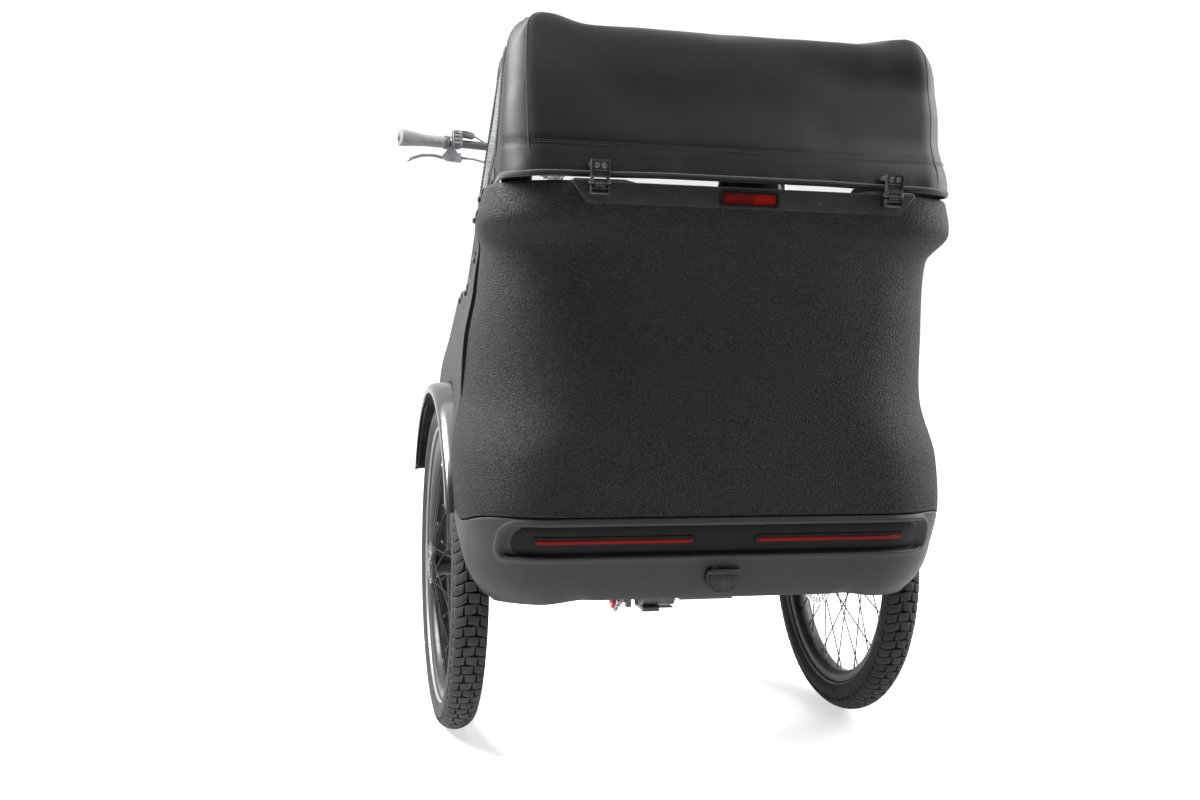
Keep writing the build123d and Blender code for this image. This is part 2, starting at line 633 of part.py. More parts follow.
# ------------------------------------------------------------------ steering
AXLE_F = (fwd(WHEELBASE), WHEEL_R)
CROWN = steer_point(402)
with BuildPart() as fork:
    rod(CROWN, steer_point(648), STEERER_R)
    rod(steer_point(400), steer_point(449), 25)
    rod((-FORK_LEG_X, CROWN[1], CROWN[2]), (FORK_LEG_X, CROWN[1], CROWN[2]), 21)
    for side in (-1, 1):
        rod((side * FORK_LEG_X, CROWN[1] - 4, CROWN[2] + 10), (side * FORK_LEG_X, AXLE_F[0], WHEEL_R), FORK_LEG_R)
        rod((side * 51, AXLE_F[0], WHEEL_R), (side * 82, AXLE_F[0], WHEEL_R), 18)
    rod((-60, AXLE_F[0], WHEEL_R), (60, AXLE_F[0], WHEEL_R), 7.5)
finish("fork", fork)

# bar points from the right end: x, y, z, mirrored on the left
BAR_END, BAR_GRIP, BAR_RISE = (434, 1071, 1265), (172, 1133.5, 1260.5), (105, BAR_Y, BAR_Z)


def bar_pt(p, side):
    return (side * p[0], fwd(p[1]), p[2])


with BuildPart() as handlebar:
    tube([bar_pt(BAR_END, 1), bar_pt(BAR_GRIP, 1), bar_pt(BAR_RISE, 1),
          bar_pt(BAR_RISE, -1), bar_pt(BAR_GRIP, -1), bar_pt(BAR_END, -1)], BAR_R, 60)
    rod((-BAR_CLAMP_HALF, fwd(BAR_Y), BAR_Z), (BAR_CLAMP_HALF, fwd(BAR_Y), BAR_Z), BAR_CLAMP_R)
finish("handlebar", handlebar)

STEM_TOP = steer_point(918)
with BuildPart() as stem:
    rod(steer_point(648), STEM_TOP, 19)
    rod(STEM_TOP, (0, fwd(BAR_Y), BAR_Z), 18)
    rod((-24, fwd(BAR_Y), BAR_Z), (24, fwd(BAR_Y), BAR_Z), 22)
    with BuildSketch(Plane(origin=steer_point(900), z_dir=STEER_DIR)):
        Circle(22)
    extrude(amount=34)
    rod((-40, fwd(BAR_Y), BAR_Z), (40, fwd(BAR_Y), BAR_Z), BAR_CLAMP_R + 0.1, Mode.SUBTRACT)
finish("stem", stem)

GRIP_L = 132.0
LEVER_DROP, LEVER_AHEAD, LEVER_L = 34.0, 34.0, 124.0
with BuildPart() as grips:
    for side in (-1, 1):
        end, inner = Vector(*bar_pt(BAR_END, side)), Vector(*bar_pt(BAR_GRIP, side))
        d = (inner - end).normalized()
        rod(tuple(end - d * 6), tuple(end + d * GRIP_L), 16.5)
    add(handlebar.part, mode=Mode.SUBTRACT)
finish("grips", grips)

with BuildPart() as brake_levers:
    for side in (-1, 1):
        end, inner = Vector(*bar_pt(BAR_END, side)), Vector(*bar_pt(BAR_GRIP, side))
        d = (inner - end).normalized()
        ahead = Vector(0, 1, 0)
        clamp = end + d * (GRIP_L + 4)
        rod(tuple(clamp), tuple(clamp + d * 16), 19)
        pivot = clamp + d * 8 + ahead * LEVER_AHEAD + Vector(0, 0, -LEVER_DROP)
        rod(tuple(clamp + d * 8), tuple(pivot), 9)
        rod(tuple(pivot + d * 22), tuple(pivot - d * 8), 11)
        rod(tuple(pivot), tuple(pivot - d * LEVER_L + ahead * 4 + Vector(0, 0, -20)), 6)
    add(handlebar.part, mode=Mode.SUBTRACT)
finish("brake_levers", brake_levers)

# hoses from the levers, held along the bar, into the ends of the stem clamp
HOSE_R, HOSE_BEND = 2.5, 40.0
with BuildPart() as brake_hoses:
    for side in (-1, 1):
        end, inner = Vector(*bar_pt(BAR_END, side)), Vector(*bar_pt(BAR_GRIP, side))
        d = (inner - end).normalized()
        start = end + d * (GRIP_L + 34) + Vector(0, LEVER_AHEAD, -LEVER_DROP)
        tube([tuple(start), tuple(start + d * 45), (side * 104, fwd(BAR_Y + 19), BAR_Z),
              (side * 24, fwd(BAR_Y + 19), BAR_Z)], HOSE_R, HOSE_BEND)
finish("brake_hoses", brake_hoses)

with BuildPart() as display:
    with BuildSketch(Plane.XY.offset(BAR_Z + 25)):
        with Locations((0, fwd(BAR_Y - 4))):
            RectangleRounded(62, 78, 10)
    extrude(amount=14)
    block(-10, 10, fwd(BAR_Y - 8), fwd(BAR_Y + 8), BAR_Z + 20.6, BAR_Z + 25)
    add(stem.part, mode=Mode.SUBTRACT)
    add(handlebar.part, mode=Mode.SUBTRACT)
finish("display", display)

with BuildPart() as headlight:
    rod((0, CROWN[1] + 12, CROWN[2] + 24), (0, CROWN[1] + 66, CROWN[2] + 24), 27)
    add(fork.part, mode=Mode.SUBTRACT)
finish("headlight", headlight)

MUD_R0, MUD_R1 = 331.0, 334.5
with BuildPart() as front_fender:
    with BuildSketch(Plane.YZ.offset(-40)):
        with BuildLine():
            CenterArc(AXLE_F, MUD_R1, 42, 160)
            CenterArc(AXLE_F, MUD_R0, 42, 160)
            for a in (42, 202):
                Line((AXLE_F[0] + MUD_R0 * cos(radians(a)), WHEEL_R + MUD_R0 * sin(radians(a))),
                     (AXLE_F[0] + MUD_R1 * cos(radians(a)), WHEEL_R + MUD_R1 * sin(radians(a))))
        make_face()
    extrude(amount=80)
    for side in (-1, 1):
        a = radians(188)
        rod((side * 60, AXLE_F[0] - 26, WHEEL_R + 14),
            (side * 39, AXLE_F[0] + MUD_R1 * cos(a), WHEEL_R + MUD_R1 * sin(a)), 2.5)
    add(fork.part, mode=Mode.SUBTRACT)
finish("front_fender", front_fender)

with BuildPart() as front_caliper:
    block(-60, -36, AXLE_F[0] - 122, AXLE_F[0] - 62, WHEEL_R + 38, WHEEL_R + 94)
    rod((-48.1, AXLE_F[0], WHEEL_R), (-43.1, AXLE_F[0], WHEEL_R), DISC_R + 4, Mode.SUBTRACT)
    add(fork.part, mode=Mode.SUBTRACT)
finish("front_caliper", front_caliper)

# --------------------------------------------------------------------- crank
with BuildPart() as crank_set:
    rod((-98, fwd(CRANK_Y), CRANK_Z), (98, fwd(CRANK_Y), CRANK_Z), 11)
    for side in (-1, 1):
        x0, x1 = sorted((side * 88, side * 100))
        end_y = fwd(CRANK_Y) + side * CRANK_L
        with BuildSketch(Plane.YZ.offset(x0)):
            with Locations((fwd(CRANK_Y), CRANK_Z)):
                Circle(20)
            with Locations((end_y, CRANK_Z)):
                Circle(14)
            make_hull()
        extrude(amount=x1 - x0)
        rod((side * 94, end_y, CRANK_Z), (side * 196, end_y, CRANK_Z), 5.5)
finish("crank_set", crank_set)

for word, side in (("left", -1), ("right", 1)):
    with BuildPart() as pedal:
        yc = fwd(CRANK_Y) + side * CRANK_L
        x0, x1 = sorted((side * 106, side * 202))
        block(x0, x1, yc - 46, yc + 46, CRANK_Z - 12, CRANK_Z + 12)
        fillet(pedal.edges().filter_by(Axis.Z), 10)
        rod((side * 100, yc, CRANK_Z), (side * 197, yc, CRANK_Z), 5.8, Mode.SUBTRACT)
    finish(f"{word}_pedal", pedal)

# -------------------------------------------------------------------- output
for name, solid in made.items():
    export_step(solid, f"parts/{name}.step")
    print(name, len(solid.solids()), round(solid.volume / 1000, 1), "cm3")
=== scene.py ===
import math

import bmesh
import bpy
import numpy as np
from mathutils import Matrix, Vector, noise


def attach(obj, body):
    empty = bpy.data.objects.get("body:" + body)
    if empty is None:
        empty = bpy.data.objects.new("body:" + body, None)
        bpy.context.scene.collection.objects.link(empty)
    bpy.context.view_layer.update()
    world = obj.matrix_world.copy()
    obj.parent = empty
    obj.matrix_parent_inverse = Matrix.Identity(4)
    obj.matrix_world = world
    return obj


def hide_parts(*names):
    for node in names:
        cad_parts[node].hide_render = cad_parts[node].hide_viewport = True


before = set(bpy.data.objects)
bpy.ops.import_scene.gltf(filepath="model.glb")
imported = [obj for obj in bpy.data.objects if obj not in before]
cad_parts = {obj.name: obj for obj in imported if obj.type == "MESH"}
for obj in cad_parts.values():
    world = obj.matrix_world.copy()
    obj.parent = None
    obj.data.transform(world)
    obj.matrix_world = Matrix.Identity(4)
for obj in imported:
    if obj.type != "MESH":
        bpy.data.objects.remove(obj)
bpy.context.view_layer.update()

AHEAD = -645.0  # Y of the rear axle in millimetres; shapes below are measured from it
WHEEL_R = 314.5
rad = math.radians


# ------------------------------------------------------------------ mesh tools
def unit(v):
    v = np.asarray(v, float)
    return v / np.linalg.norm(v)


class Shape:
    """Faces gathered in millimetres, Y ahead of the rear axle, made into one piece."""

    def __init__(self):
        self.v, self.f, self.m = [], [], []

    def add(self, verts, faces, mat=0):
        o = len(self.v)
        self.v.extend([tuple(map(float, p)) for p in verts])
        self.f.extend([tuple(int(i) + o for i in f) for f in faces])
        self.m.extend([mat] * len(faces))
        return o

    def grid(self, rows, cu=False, cv=False, mat=0, cap_u=False, cap_v=False):
        a = np.asarray(rows, float)
        nu, nv = a.shape[:2]
        ix = lambda i, j: (i % nu) * nv + (j % nv)
        faces = [(ix(i, j), ix(i + 1, j), ix(i + 1, j + 1), ix(i, j + 1))
                 for i in range(nu if cu else nu - 1) for j in range(nv if cv else nv - 1)]
        if cap_v:  # closed along u, open along v: close both ends
            faces += [tuple(ix(i, 0) for i in range(nu)), tuple(ix(i, nv - 1) for i in range(nu))]
        if cap_u:
            faces += [tuple(ix(0, j) for j in range(nv)), tuple(ix(nu - 1, j) for j in range(nv))]
        return self.add(a.reshape(-1, 3), faces, mat)

    def tube(self, pts, r, n=12, mat=0, flat=None):
        p = np.asarray(pts, float)
        r = np.broadcast_to(np.asarray(r, float), (len(p),))
        t = np.gradient(p, axis=0)
        t /= np.linalg.norm(t, axis=1)[:, None]
        ref = np.array((0, 0, 1.0)) if abs(t[0][2]) < 0.9 else np.array((0, 1.0, 0))
        u = unit(np.cross(ref, t[0]))
        rows = []
        for k in range(len(p)):
            u = unit(u - t[k] * (u @ t[k]))
            w = np.cross(t[k], u)
            a = np.linspace(0, 2 * math.pi, n, endpoint=False)
            sx, sy = (1, 1) if flat is None else flat
            rows.append(p[k] + r[k] * (np.cos(a)[:, None] * u * sx + np.sin(a)[:, None] * w * sy))
        return self.grid(rows, cv=True, mat=mat, cap_u=True)

    def lathe(self, prof, c, d=(1, 0, 0), n=64, mat=0, closed=False):
        """prof: distance along d from c, radius. closed joins the last point to the first."""
        d = unit(d)
        ref = np.array((0, 0, 1.0)) if abs(d[2]) < 0.9 else np.array((0, 1.0, 0))
        u = unit(np.cross(ref, d))
        w = np.cross(d, u)
        a = np.linspace(0, 2 * math.pi, n, endpoint=False)
        rows = [np.asarray(c, float) + d * x + r * (np.cos(a)[:, None] * u + np.sin(a)[:, None] * w)
                for x, r in prof]
        return self.grid(rows, cu=closed, cv=True, mat=mat, cap_u=not closed)

    def box(self, lo, hi, r=0.0, seg=2, mat=0, turn=None):
        bm = bmesh.new()
        bmesh.ops.create_cube(bm, size=1)
        lo, hi = np.asarray(lo, float), np.asarray(hi, float)
        for v in bm.verts:
            v.co = Vector((lo + hi) / 2 + np.array(v.co) * (hi - lo))
        if r:
            bmesh.ops.bevel(bm, geom=bm.edges[:], offset=r, segments=seg, profile=0.5, affect="EDGES",
                            clamp_overlap=True)
        self._take(bm, mat, turn)

    def prism(self, poly, place, depth, r=0.0, seg=2, mat=0):
        """A closed outline pushed depth along its third direction, its two rims rounded by r."""
        bm = bmesh.new()
        low = [bm.verts.new((a, b, 0)) for a, b in poly]
        high = [bm.verts.new((a, b, depth)) for a, b in poly]
        bm.faces.new(low[::-1])
        bm.faces.new(high)
        n = len(poly)
        for i in range(n):
            bm.faces.new((low[i], low[(i + 1) % n], high[(i + 1) % n], high[i]))
        if r:
            rims = [e for e in bm.edges if abs(e.verts[0].co.z - e.verts[1].co.z) < 1e-6]
            bmesh.ops.bevel(bm, geom=rims, offset=r, segments=seg, profile=0.5, affect="EDGES",
                            clamp_overlap=True)
        for v in bm.verts:
            v.co = Vector(place(*v.co))
        self._take(bm, mat, None)

    def _take(self, bm, mat, turn):
        bm.verts.index_update()
        vs = [turn @ v.co if turn else v.co.copy() for v in bm.verts]
        self.add(vs, [[v.index for v in f.verts] for f in bm.faces], mat)
        bm.free()

    def make(self, name, mats, body, stands_for=(), slot=None, angle=38, weld=0.0):
        v = np.array(self.v, float)
        v[:, 1] += AHEAD
        me = bpy.data.meshes.new(name)
        me.from_pydata((v * 0.001).tolist(), [], self.f)
        for m in mats if isinstance(mats, (list, tuple)) else [mats]:
            me.materials.append(m)
        me.polygons.foreach_set("material_index", self.m)
        bm = bmesh.new()
        bm.from_mesh(me)
        if weld:
            bmesh.ops.remove_doubles(bm, verts=bm.verts[:], dist=weld)
        bmesh.ops.recalc_face_normals(bm, faces=bm.faces[:])
        bm.to_mesh(me)
        bm.free()
        ob = bpy.data.objects.new(name, me)
        bpy.context.scene.collection.objects.link(ob)
        shade(ob, angle)
        if body:
            place_on(ob, body, stands_for)
        return ob


def shade(ob, angle=38):
    ob.data.shade_smooth()
    ob.data.set_sharp_from_angle(angle=rad(angle))


def place_on(ob, body, stands_for=()):
    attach(ob, body)
    if stands_for:
        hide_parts(*stands_for)


def apply_modifiers(ob):
    dg = bpy.context.evaluated_depsgraph_get()
    dg.update()
    me = bpy.data.meshes.new_from_object(ob.evaluated_get(dg))
    old = ob.data
    ob.modifiers.clear()
    ob.data = me
    bpy.data.meshes.remove(old)
    return ob


def pchip(xs, ys):
    xs, ys = np.array(xs, float), np.array(ys, float)
    h = np.diff(xs)
    d = np.diff(ys) / h
    m = np.zeros(len(xs))
    m[0], m[-1] = d[0], d[-1]
    for i in range(1, len(xs) - 1):
        if d[i - 1] * d[i] > 0:
            w1, w2 = 2 * h[i] + h[i - 1], h[i] + 2 * h[i - 1]
            m[i] = (w1 + w2) / (w1 / d[i - 1] + w2 / d[i])

    def f(x):
        x = np.clip(np.asarray(x, float), xs[0], xs[-1])
        i = np.clip(np.searchsorted(xs, x) - 1, 0, len(xs) - 2)
        t = (x - xs[i]) / h[i]
        return (ys[i] * (1 + 2 * t) * (1 - t) ** 2 + h[i] * m[i] * t * (1 - t) ** 2
                + ys[i + 1] * t * t * (3 - 2 * t) + h[i] * m[i + 1] * t * t * (t - 1))
    return f


def smooth(a, b, x):
    t = np.clip((np.asarray(x, float) - a) / (b - a), 0, 1)
    return t * t * (3 - 2 * t)


def corner(p, a, b, r, n):
    """Arc that rounds corner p between the directions to a and b."""
    p, a, b = (np.array(q, float) for q in (p, a, b))
    da, db = unit(a - p), unit(b - p)
    ang = math.acos(max(-1, min(1, da @ db)))
    s, e = p + da * r / math.tan(ang / 2), p + db * r / math.tan(ang / 2)
    c = p + unit(da + db) * r / math.sin(ang / 2)
    a0, a1 = math.atan2(*(s - c)[::-1]), math.atan2(*(e - c)[::-1])
    d = (a1 - a0 + math.pi) % (2 * math.pi) - math.pi
    k = a0 + d * np.linspace(0, 1, n)
    return c + r * np.stack([np.cos(k), np.sin(k)], 1)


def rounded(points, radii, n=10):
    """Closed outline with each corner rounded."""
    out = []
    m = len(points)
    for i, p in enumerate(points):
        out.extend(corner(p, points[i - 1], points[(i + 1) % m], radii[i], n))
    return np.array(out)


def spread_along(path, n):
    path = np.asarray(path, float)
    s = np.concatenate([[0], np.cumsum(np.linalg.norm(np.diff(path, axis=0), axis=1))])
    at = np.linspace(0, s[-1], n)
    return np.stack([np.interp(at, s, path[:, k]) for k in range(path.shape[1])], 1)


def spline(points, n):
    """Smooth line through points, n samples."""
    p = np.asarray(points, float)
    s = np.concatenate([[0], np.cumsum(np.linalg.norm(np.diff(p, axis=0), axis=1))])
    at = np.linspace(0, s[-1], n)
    return np.stack([pchip(s, p[:, k])(at) for k in range(p.shape[1])], 1)


# ------------------------------------------------------------------- materials
def nodes_of(name):
    m = bpy.data.materials.new(name)
    m.use_nodes = True
    t = m.node_tree
    return m, t, t.nodes["Principled BSDF"]


def link(t, a, b):
    t.links.new(a, b)


def coords(t, stretch=None):
    c = t.nodes.new("ShaderNodeTexCoord").outputs["Object"]
    if stretch:
        s = t.nodes.new("ShaderNodeMapping")
        s.inputs["Scale"].default_value = stretch
        link(t, c, s.inputs["Vector"])
        c = s.outputs["Vector"]
    return c


def tex_noise(t, c, scale, detail=4.0, rough=0.6):
    n = t.nodes.new("ShaderNodeTexNoise")
    n.inputs["Scale"].default_value = scale
    n.inputs["Detail"].default_value = detail
    n.inputs["Roughness"].default_value = rough
    link(t, c, n.inputs["Vector"])
    return n.outputs["Fac"]


def tex_cells(t, c, scale, feature="F1"):
    n = t.nodes.new("ShaderNodeTexVoronoi")
    n.feature = feature
    n.inputs["Scale"].default_value = scale
    link(t, c, n.inputs["Vector"])
    return n.outputs["Distance"]


def tex_wave(t, c, scale, axis="X", kind="BANDS", distortion=0.0):
    n = t.nodes.new("ShaderNodeTexWave")
    n.wave_type = kind
    n.bands_direction = axis
    n.inputs["Scale"].default_value = scale
    n.inputs["Distortion"].default_value = distortion
    link(t, c, n.inputs["Vector"])
    return n.outputs["Fac"]


def span(t, fac, lo, hi, from_lo=0.3, from_hi=0.7):
    n = t.nodes.new("ShaderNodeMapRange")
    n.inputs["From Min"].default_value = from_lo
    n.inputs["From Max"].default_value = from_hi
    n.inputs["To Min"].default_value = lo
    n.inputs["To Max"].default_value = hi
    link(t, fac, n.inputs["Value"])
    return n.outputs["Result"]


def math_node(t, op, a, b):
    n = t.nodes.new("ShaderNodeMath")
    n.operation = op
    for s, v in zip(n.inputs, (a, b)):
        if isinstance(v, (int, float)):
            s.default_value = v
        else:
            link(t, v, s)
    return n.outputs[0]


def blend(t, fac, a, b):
    n = t.nodes.new("ShaderNodeMix")
    n.data_type = "RGBA"
    link(t, fac, n.inputs["Factor"])
    for s, v in ((n.inputs[6], a), (n.inputs[7], b)):
        if isinstance(v, (tuple, list)):
            s.default_value = (*v[:3], 1)
        else:
            link(t, v, s)
    return n.outputs[2]


def bump(t, height, strength, distance, normal=None):
    n = t.nodes.new("ShaderNodeBump")
    n.inputs["Strength"].default_value = strength
    n.inputs["Distance"].default_value = distance
    link(t, height, n.inputs["Height"])
    if normal is not None:
        link(t, normal, n.inputs["Normal"])
    return n.outputs["Normal"]


def finish_of(name, base, tint, rough, metal=0.0, spec=0.5, patch=9.0, grain=(), rough_scale=40.0, sheen=0.0,
              coat=0.0, coat_rough=0.1, stretch=None, edge=None):
    """A coloured, grained surface. grain: list of (kind, scale, strength, distance in m)."""
    m, t, b = nodes_of(name)
    c = coords(t, stretch)
    fac = span(t, tex_noise(t, c, patch, 5), 0, 1)
    col = blend(t, fac, base, tint)
    if edge:  # paler along sharp edges
        g = t.nodes.new("ShaderNodeNewGeometry")
        edge_pale = math_node(t, "MULTIPLY", span(t, g.outputs["Pointiness"], 0, 1, 0.52, 0.62),
                         span(t, tex_noise(t, c, 60, 3), 0.2, 1))
        col = blend(t, edge_pale, col, edge)
    link(t, col, b.inputs["Base Color"])
    link(t, span(t, tex_noise(t, c, rough_scale, 3), *rough), b.inputs["Roughness"])
    b.inputs["Metallic"].default_value = metal
    b.inputs["Specular IOR Level"].default_value = spec
    if sheen:
        b.inputs["Sheen Weight"].default_value = sheen
        b.inputs["Sheen Roughness"].default_value = 0.4
    if coat:
        b.inputs["Coat Weight"].default_value = coat
        b.inputs["Coat Roughness"].default_value = coat_rough
    n = None
    for kind, scale, strength, dist in grain:
        h = {"noise": lambda: tex_noise(t, c, scale, 3), "cells": lambda: tex_cells(t, c, scale),
             "wave": lambda: tex_wave(t, c, scale)}[kind]()
        n = bump(t, h, strength, dist, n)
    if n is not None:
        link(t, n, b.inputs["Normal"])
    return m


def foam_material(name, tone=1.0):
    """Moulded bead foam: fine dull beads with paler specks and two upright mould lines."""
    m, t, b = nodes_of(name)
    c = coords(t)
    cells = tex_cells(t, c, 330)
    fine = tex_noise(t, c, 520, 1.2, 0.6)
    broad = tex_noise(t, c, 7, 4)
    grain = span(t, fine, 0, 1, 0.42, 0.70)
    col = blend(t, grain, tuple(tone * v for v in (0.0016, 0.0016, 0.0015)), tuple(tone * v for v in (0.0165, 0.0165, 0.0158)))
    col = blend(t, span(t, broad, 0, 0.3), col, tuple(tone * v for v in (0.0075, 0.0075, 0.0072)))
    sep = t.nodes.new("ShaderNodeSeparateXYZ")
    link(t, c, sep.inputs[0])
    off = math_node(t, "ABSOLUTE", math_node(t, "SUBTRACT", math_node(t, "ABSOLUTE", sep.outputs[0], 0), 0.304), 0)
    line = span(t, off, 1, 0, 0.0005, 0.0016)
    col = blend(t, math_node(t, "MULTIPLY", line, 0.40), col, (0.009, 0.009, 0.009))
    link(t, col, b.inputs["Base Color"])
    link(t, span(t, fine, 0.86, 0.52), b.inputs["Roughness"])
    b.inputs["Specular IOR Level"].default_value = 0.17
    n = bump(t, cells, 0.6, 0.0016)
    n = bump(t, fine, 1.0, 0.0024, n)
    n = bump(t, math_node(t, "MULTIPLY", line, -1), 0.4, 0.001, n)
    link(t, n, b.inputs["Normal"])
    return m


def cloth_material(name, base, tint, rough=(0.5, 0.68), weave=1500, strength=0.25, sheen=0.12, crease=0.25):
    """Woven cloth: two crossed thread bands, slow colour drift and soft creases."""
    m, t, b = nodes_of(name)
    c = coords(t)
    col = blend(t, span(t, tex_noise(t, c, 5, 4), 0, 1), base, tint)
    dust = span(t, tex_noise(t, c, 230, 2), 0, 0.25, 0.62, 0.8)
    col = blend(t, dust, col, tuple(min(1, 2.2 * x + 0.01) for x in tint))
    link(t, col, b.inputs["Base Color"])
    link(t, span(t, tex_noise(t, c, 16, 3), *rough), b.inputs["Roughness"])
    b.inputs["Specular IOR Level"].default_value = 0.11
    b.inputs["Sheen Weight"].default_value = sheen
    b.inputs["Sheen Roughness"].default_value = 0.45
    diag = coords(t, (1.0, 1.0, 1.0))
    w = math_node(t, "MAXIMUM", tex_wave(t, diag, weave / 6.28, "X"), tex_wave(t, diag, weave / 6.28, "Z"))
    w = math_node(t, "MAXIMUM", w, tex_wave(t, diag, weave / 6.28, "Y"))
    n = bump(t, w, strength, 0.0004)
    n = bump(t, tex_noise(t, c, 11, 3), crease, 0.006, n)
    link(t, n, b.inputs["Normal"])
    return m


def lens_material(name, base, deep, glow=0.0, cell=520):
    m, t, b = nodes_of(name)
    c = coords(t)
    grid = math_node(t, "MULTIPLY", tex_wave(t, c, cell / 6.28, "X"), tex_wave(t, c, cell / 6.28, "Z"))
    col = blend(t, grid, deep, base)
    col = blend(t, span(t, tex_noise(t, c, 60, 2), 0, 0.5), col, deep)
    link(t, col, b.inputs["Base Color"])
    link(t, span(t, tex_noise(t, c, 300, 2), 0.12, 0.3), b.inputs["Roughness"])
    b.inputs["Coat Weight"].default_value = 0.02
    b.inputs["Specular IOR Level"].default_value = 0.06
    if glow:
        link(t, col, b.inputs["Emission Color"])
        b.inputs["Emission Strength"].default_value = glow
    link(t, bump(t, grid, 0.5, 0.0006), b.inputs["Normal"])
    return m


def window_material(name):
    m, t, b = nodes_of(name)
    c = coords(t)
    link(t, blend(t, span(t, tex_noise(t, c, 6, 3), 0, 1), (0.80, 0.83, 0.85), (0.70, 0.73, 0.76)),
         b.inputs["Base Color"])
    link(t, span(t, tex_noise(t, c, 25, 3), 0.05, 0.16), b.inputs["Roughness"])
    b.inputs["Alpha"].default_value = 0.13
    b.inputs["IOR"].default_value = 1.45
    link(t, bump(t, tex_noise(t, c, 9, 2), 0.15, 0.004), b.inputs["Normal"])
    return m


FOAM = foam_material("bead_foam")
# The side panels and front wall take the bead foam painted 3.2 times paler: painted light for the sides that face the
# side lamps.
SIDE_FOAM_PAINTED_LIT = foam_material("moulded_side_painted_lit", 3.2)
BUMPER = finish_of("bumper_plastic", (0.0198, 0.0198, 0.0204), (0.0252, 0.0252, 0.026), (0.46, 0.56), spec=0.16,
                   patch=7, grain=[("noise", 1500, 0.10, 0.0003)], edge=(0.075, 0.075, 0.078))
BLACK = finish_of("moulded_black", (0.010, 0.010, 0.0105), (0.016, 0.016, 0.017), (0.40, 0.58), spec=0.5,
                  patch=20, grain=[("noise", 1800, 0.15, 0.0003)], edge=(0.045, 0.045, 0.046))
GLOSS = finish_of("gloss_black", (0.008, 0.008, 0.009), (0.012, 0.012, 0.013), (0.18, 0.28), spec=0.45,
                  patch=12, coat=0.25, coat_rough=0.12, grain=[("noise", 300, 0.03, 0.0005)])
PANEL = finish_of("lamp_panel", (0.004, 0.004, 0.0042), (0.0065, 0.0065, 0.0068), (0.36, 0.48), spec=0.07, patch=30,
                  grain=[("noise", 900, 0.05, 0.0003)])
# Near-black finish for the floors of the tread grooves and the strip along the body joint: painted shade in these gaps.
GAP_SHADE = finish_of("tread_gap_painted_shade", (0.003, 0.003, 0.003), (0.005, 0.005, 0.005), (0.8, 0.95), spec=0.06, patch=40,
                grain=[("noise", 900, 0.1, 0.0003)])
RIM = finish_of("rim_black", (0.005, 0.005, 0.0053), (0.008, 0.008, 0.0083), (0.34, 0.46), spec=0.26, patch=30,
                grain=[("noise", 700, 0.06, 0.0003)], edge=(0.05, 0.05, 0.052))
SPOKE = finish_of("spoke_black", (0.004, 0.004, 0.0042), (0.007, 0.007, 0.0072), (0.45, 0.6), spec=0.12, patch=60,
                  grain=[("noise", 900, 0.05, 0.0003)])
RUBBER = finish_of("tyre_rubber", (0.0135, 0.0135, 0.0132), (0.0229, 0.0229, 0.0223), (0.66, 0.85), spec=0.18, patch=25,
                   grain=[("noise", 1100, 0.3, 0.0005)], edge=(0.045, 0.045, 0.045))
STRIPE = finish_of("sidewall_stripe", (0.10, 0.10, 0.099), (0.13, 0.13, 0.128), (0.34, 0.48), spec=0.5, patch=60,
                   grain=[("cells", 900, 0.2, 0.0003)])
GRIP = finish_of("grip_rubber", (0.075, 0.075, 0.078), (0.10, 0.10, 0.104), (0.55, 0.7), spec=0.35, patch=30,
                 grain=[("cells", 700, 0.35, 0.0006)])
COAT = finish_of("black_coat", (0.010, 0.010, 0.011), (0.015, 0.015, 0.016), (0.28, 0.42), metal=0.0, spec=0.5,
                 patch=15, coat=0.2, coat_rough=0.2, grain=[("noise", 700, 0.08, 0.0004)],
                 edge=(0.06, 0.06, 0.062))
PAINT = finish_of("frame_paint", (0.020, 0.022, 0.025), (0.026, 0.028, 0.031), (0.30, 0.42), spec=0.5, patch=8,
                  coat=0.25, coat_rough=0.15, grain=[("noise", 900, 0.06, 0.0003)], edge=(0.07, 0.07, 0.075))
STEEL = finish_of("brushed_steel", (0.42, 0.42, 0.43), (0.56, 0.56, 0.56), (0.22, 0.42), metal=1.0, patch=60,
                  grain=[("noise", 500, 0.12, 0.0003)], stretch=(1, 6, 6))
ALLOY = finish_of("satin_alloy", (0.46, 0.46, 0.47), (0.55, 0.55, 0.56), (0.30, 0.45), metal=1.0, patch=25,
                  grain=[("noise", 900, 0.08, 0.0003)])
GREY_METAL = finish_of("grey_anodised", (0.14, 0.14, 0.15), (0.19, 0.19, 0.20), (0.32, 0.46), metal=1.0, patch=40,
                       grain=[("noise", 900, 0.1, 0.0003)])
RED_METAL = finish_of("red_anodised", (0.42, 0.012, 0.014), (0.55, 0.02, 0.02), (0.25, 0.4), metal=0.7, patch=60,
                      grain=[("noise", 900, 0.08, 0.0003)])
LAMP = lens_material("red_strip_lens", (0.16, 0.002, 0.002), (0.11, 0.0015, 0.0015), glow=0.04, cell=900)
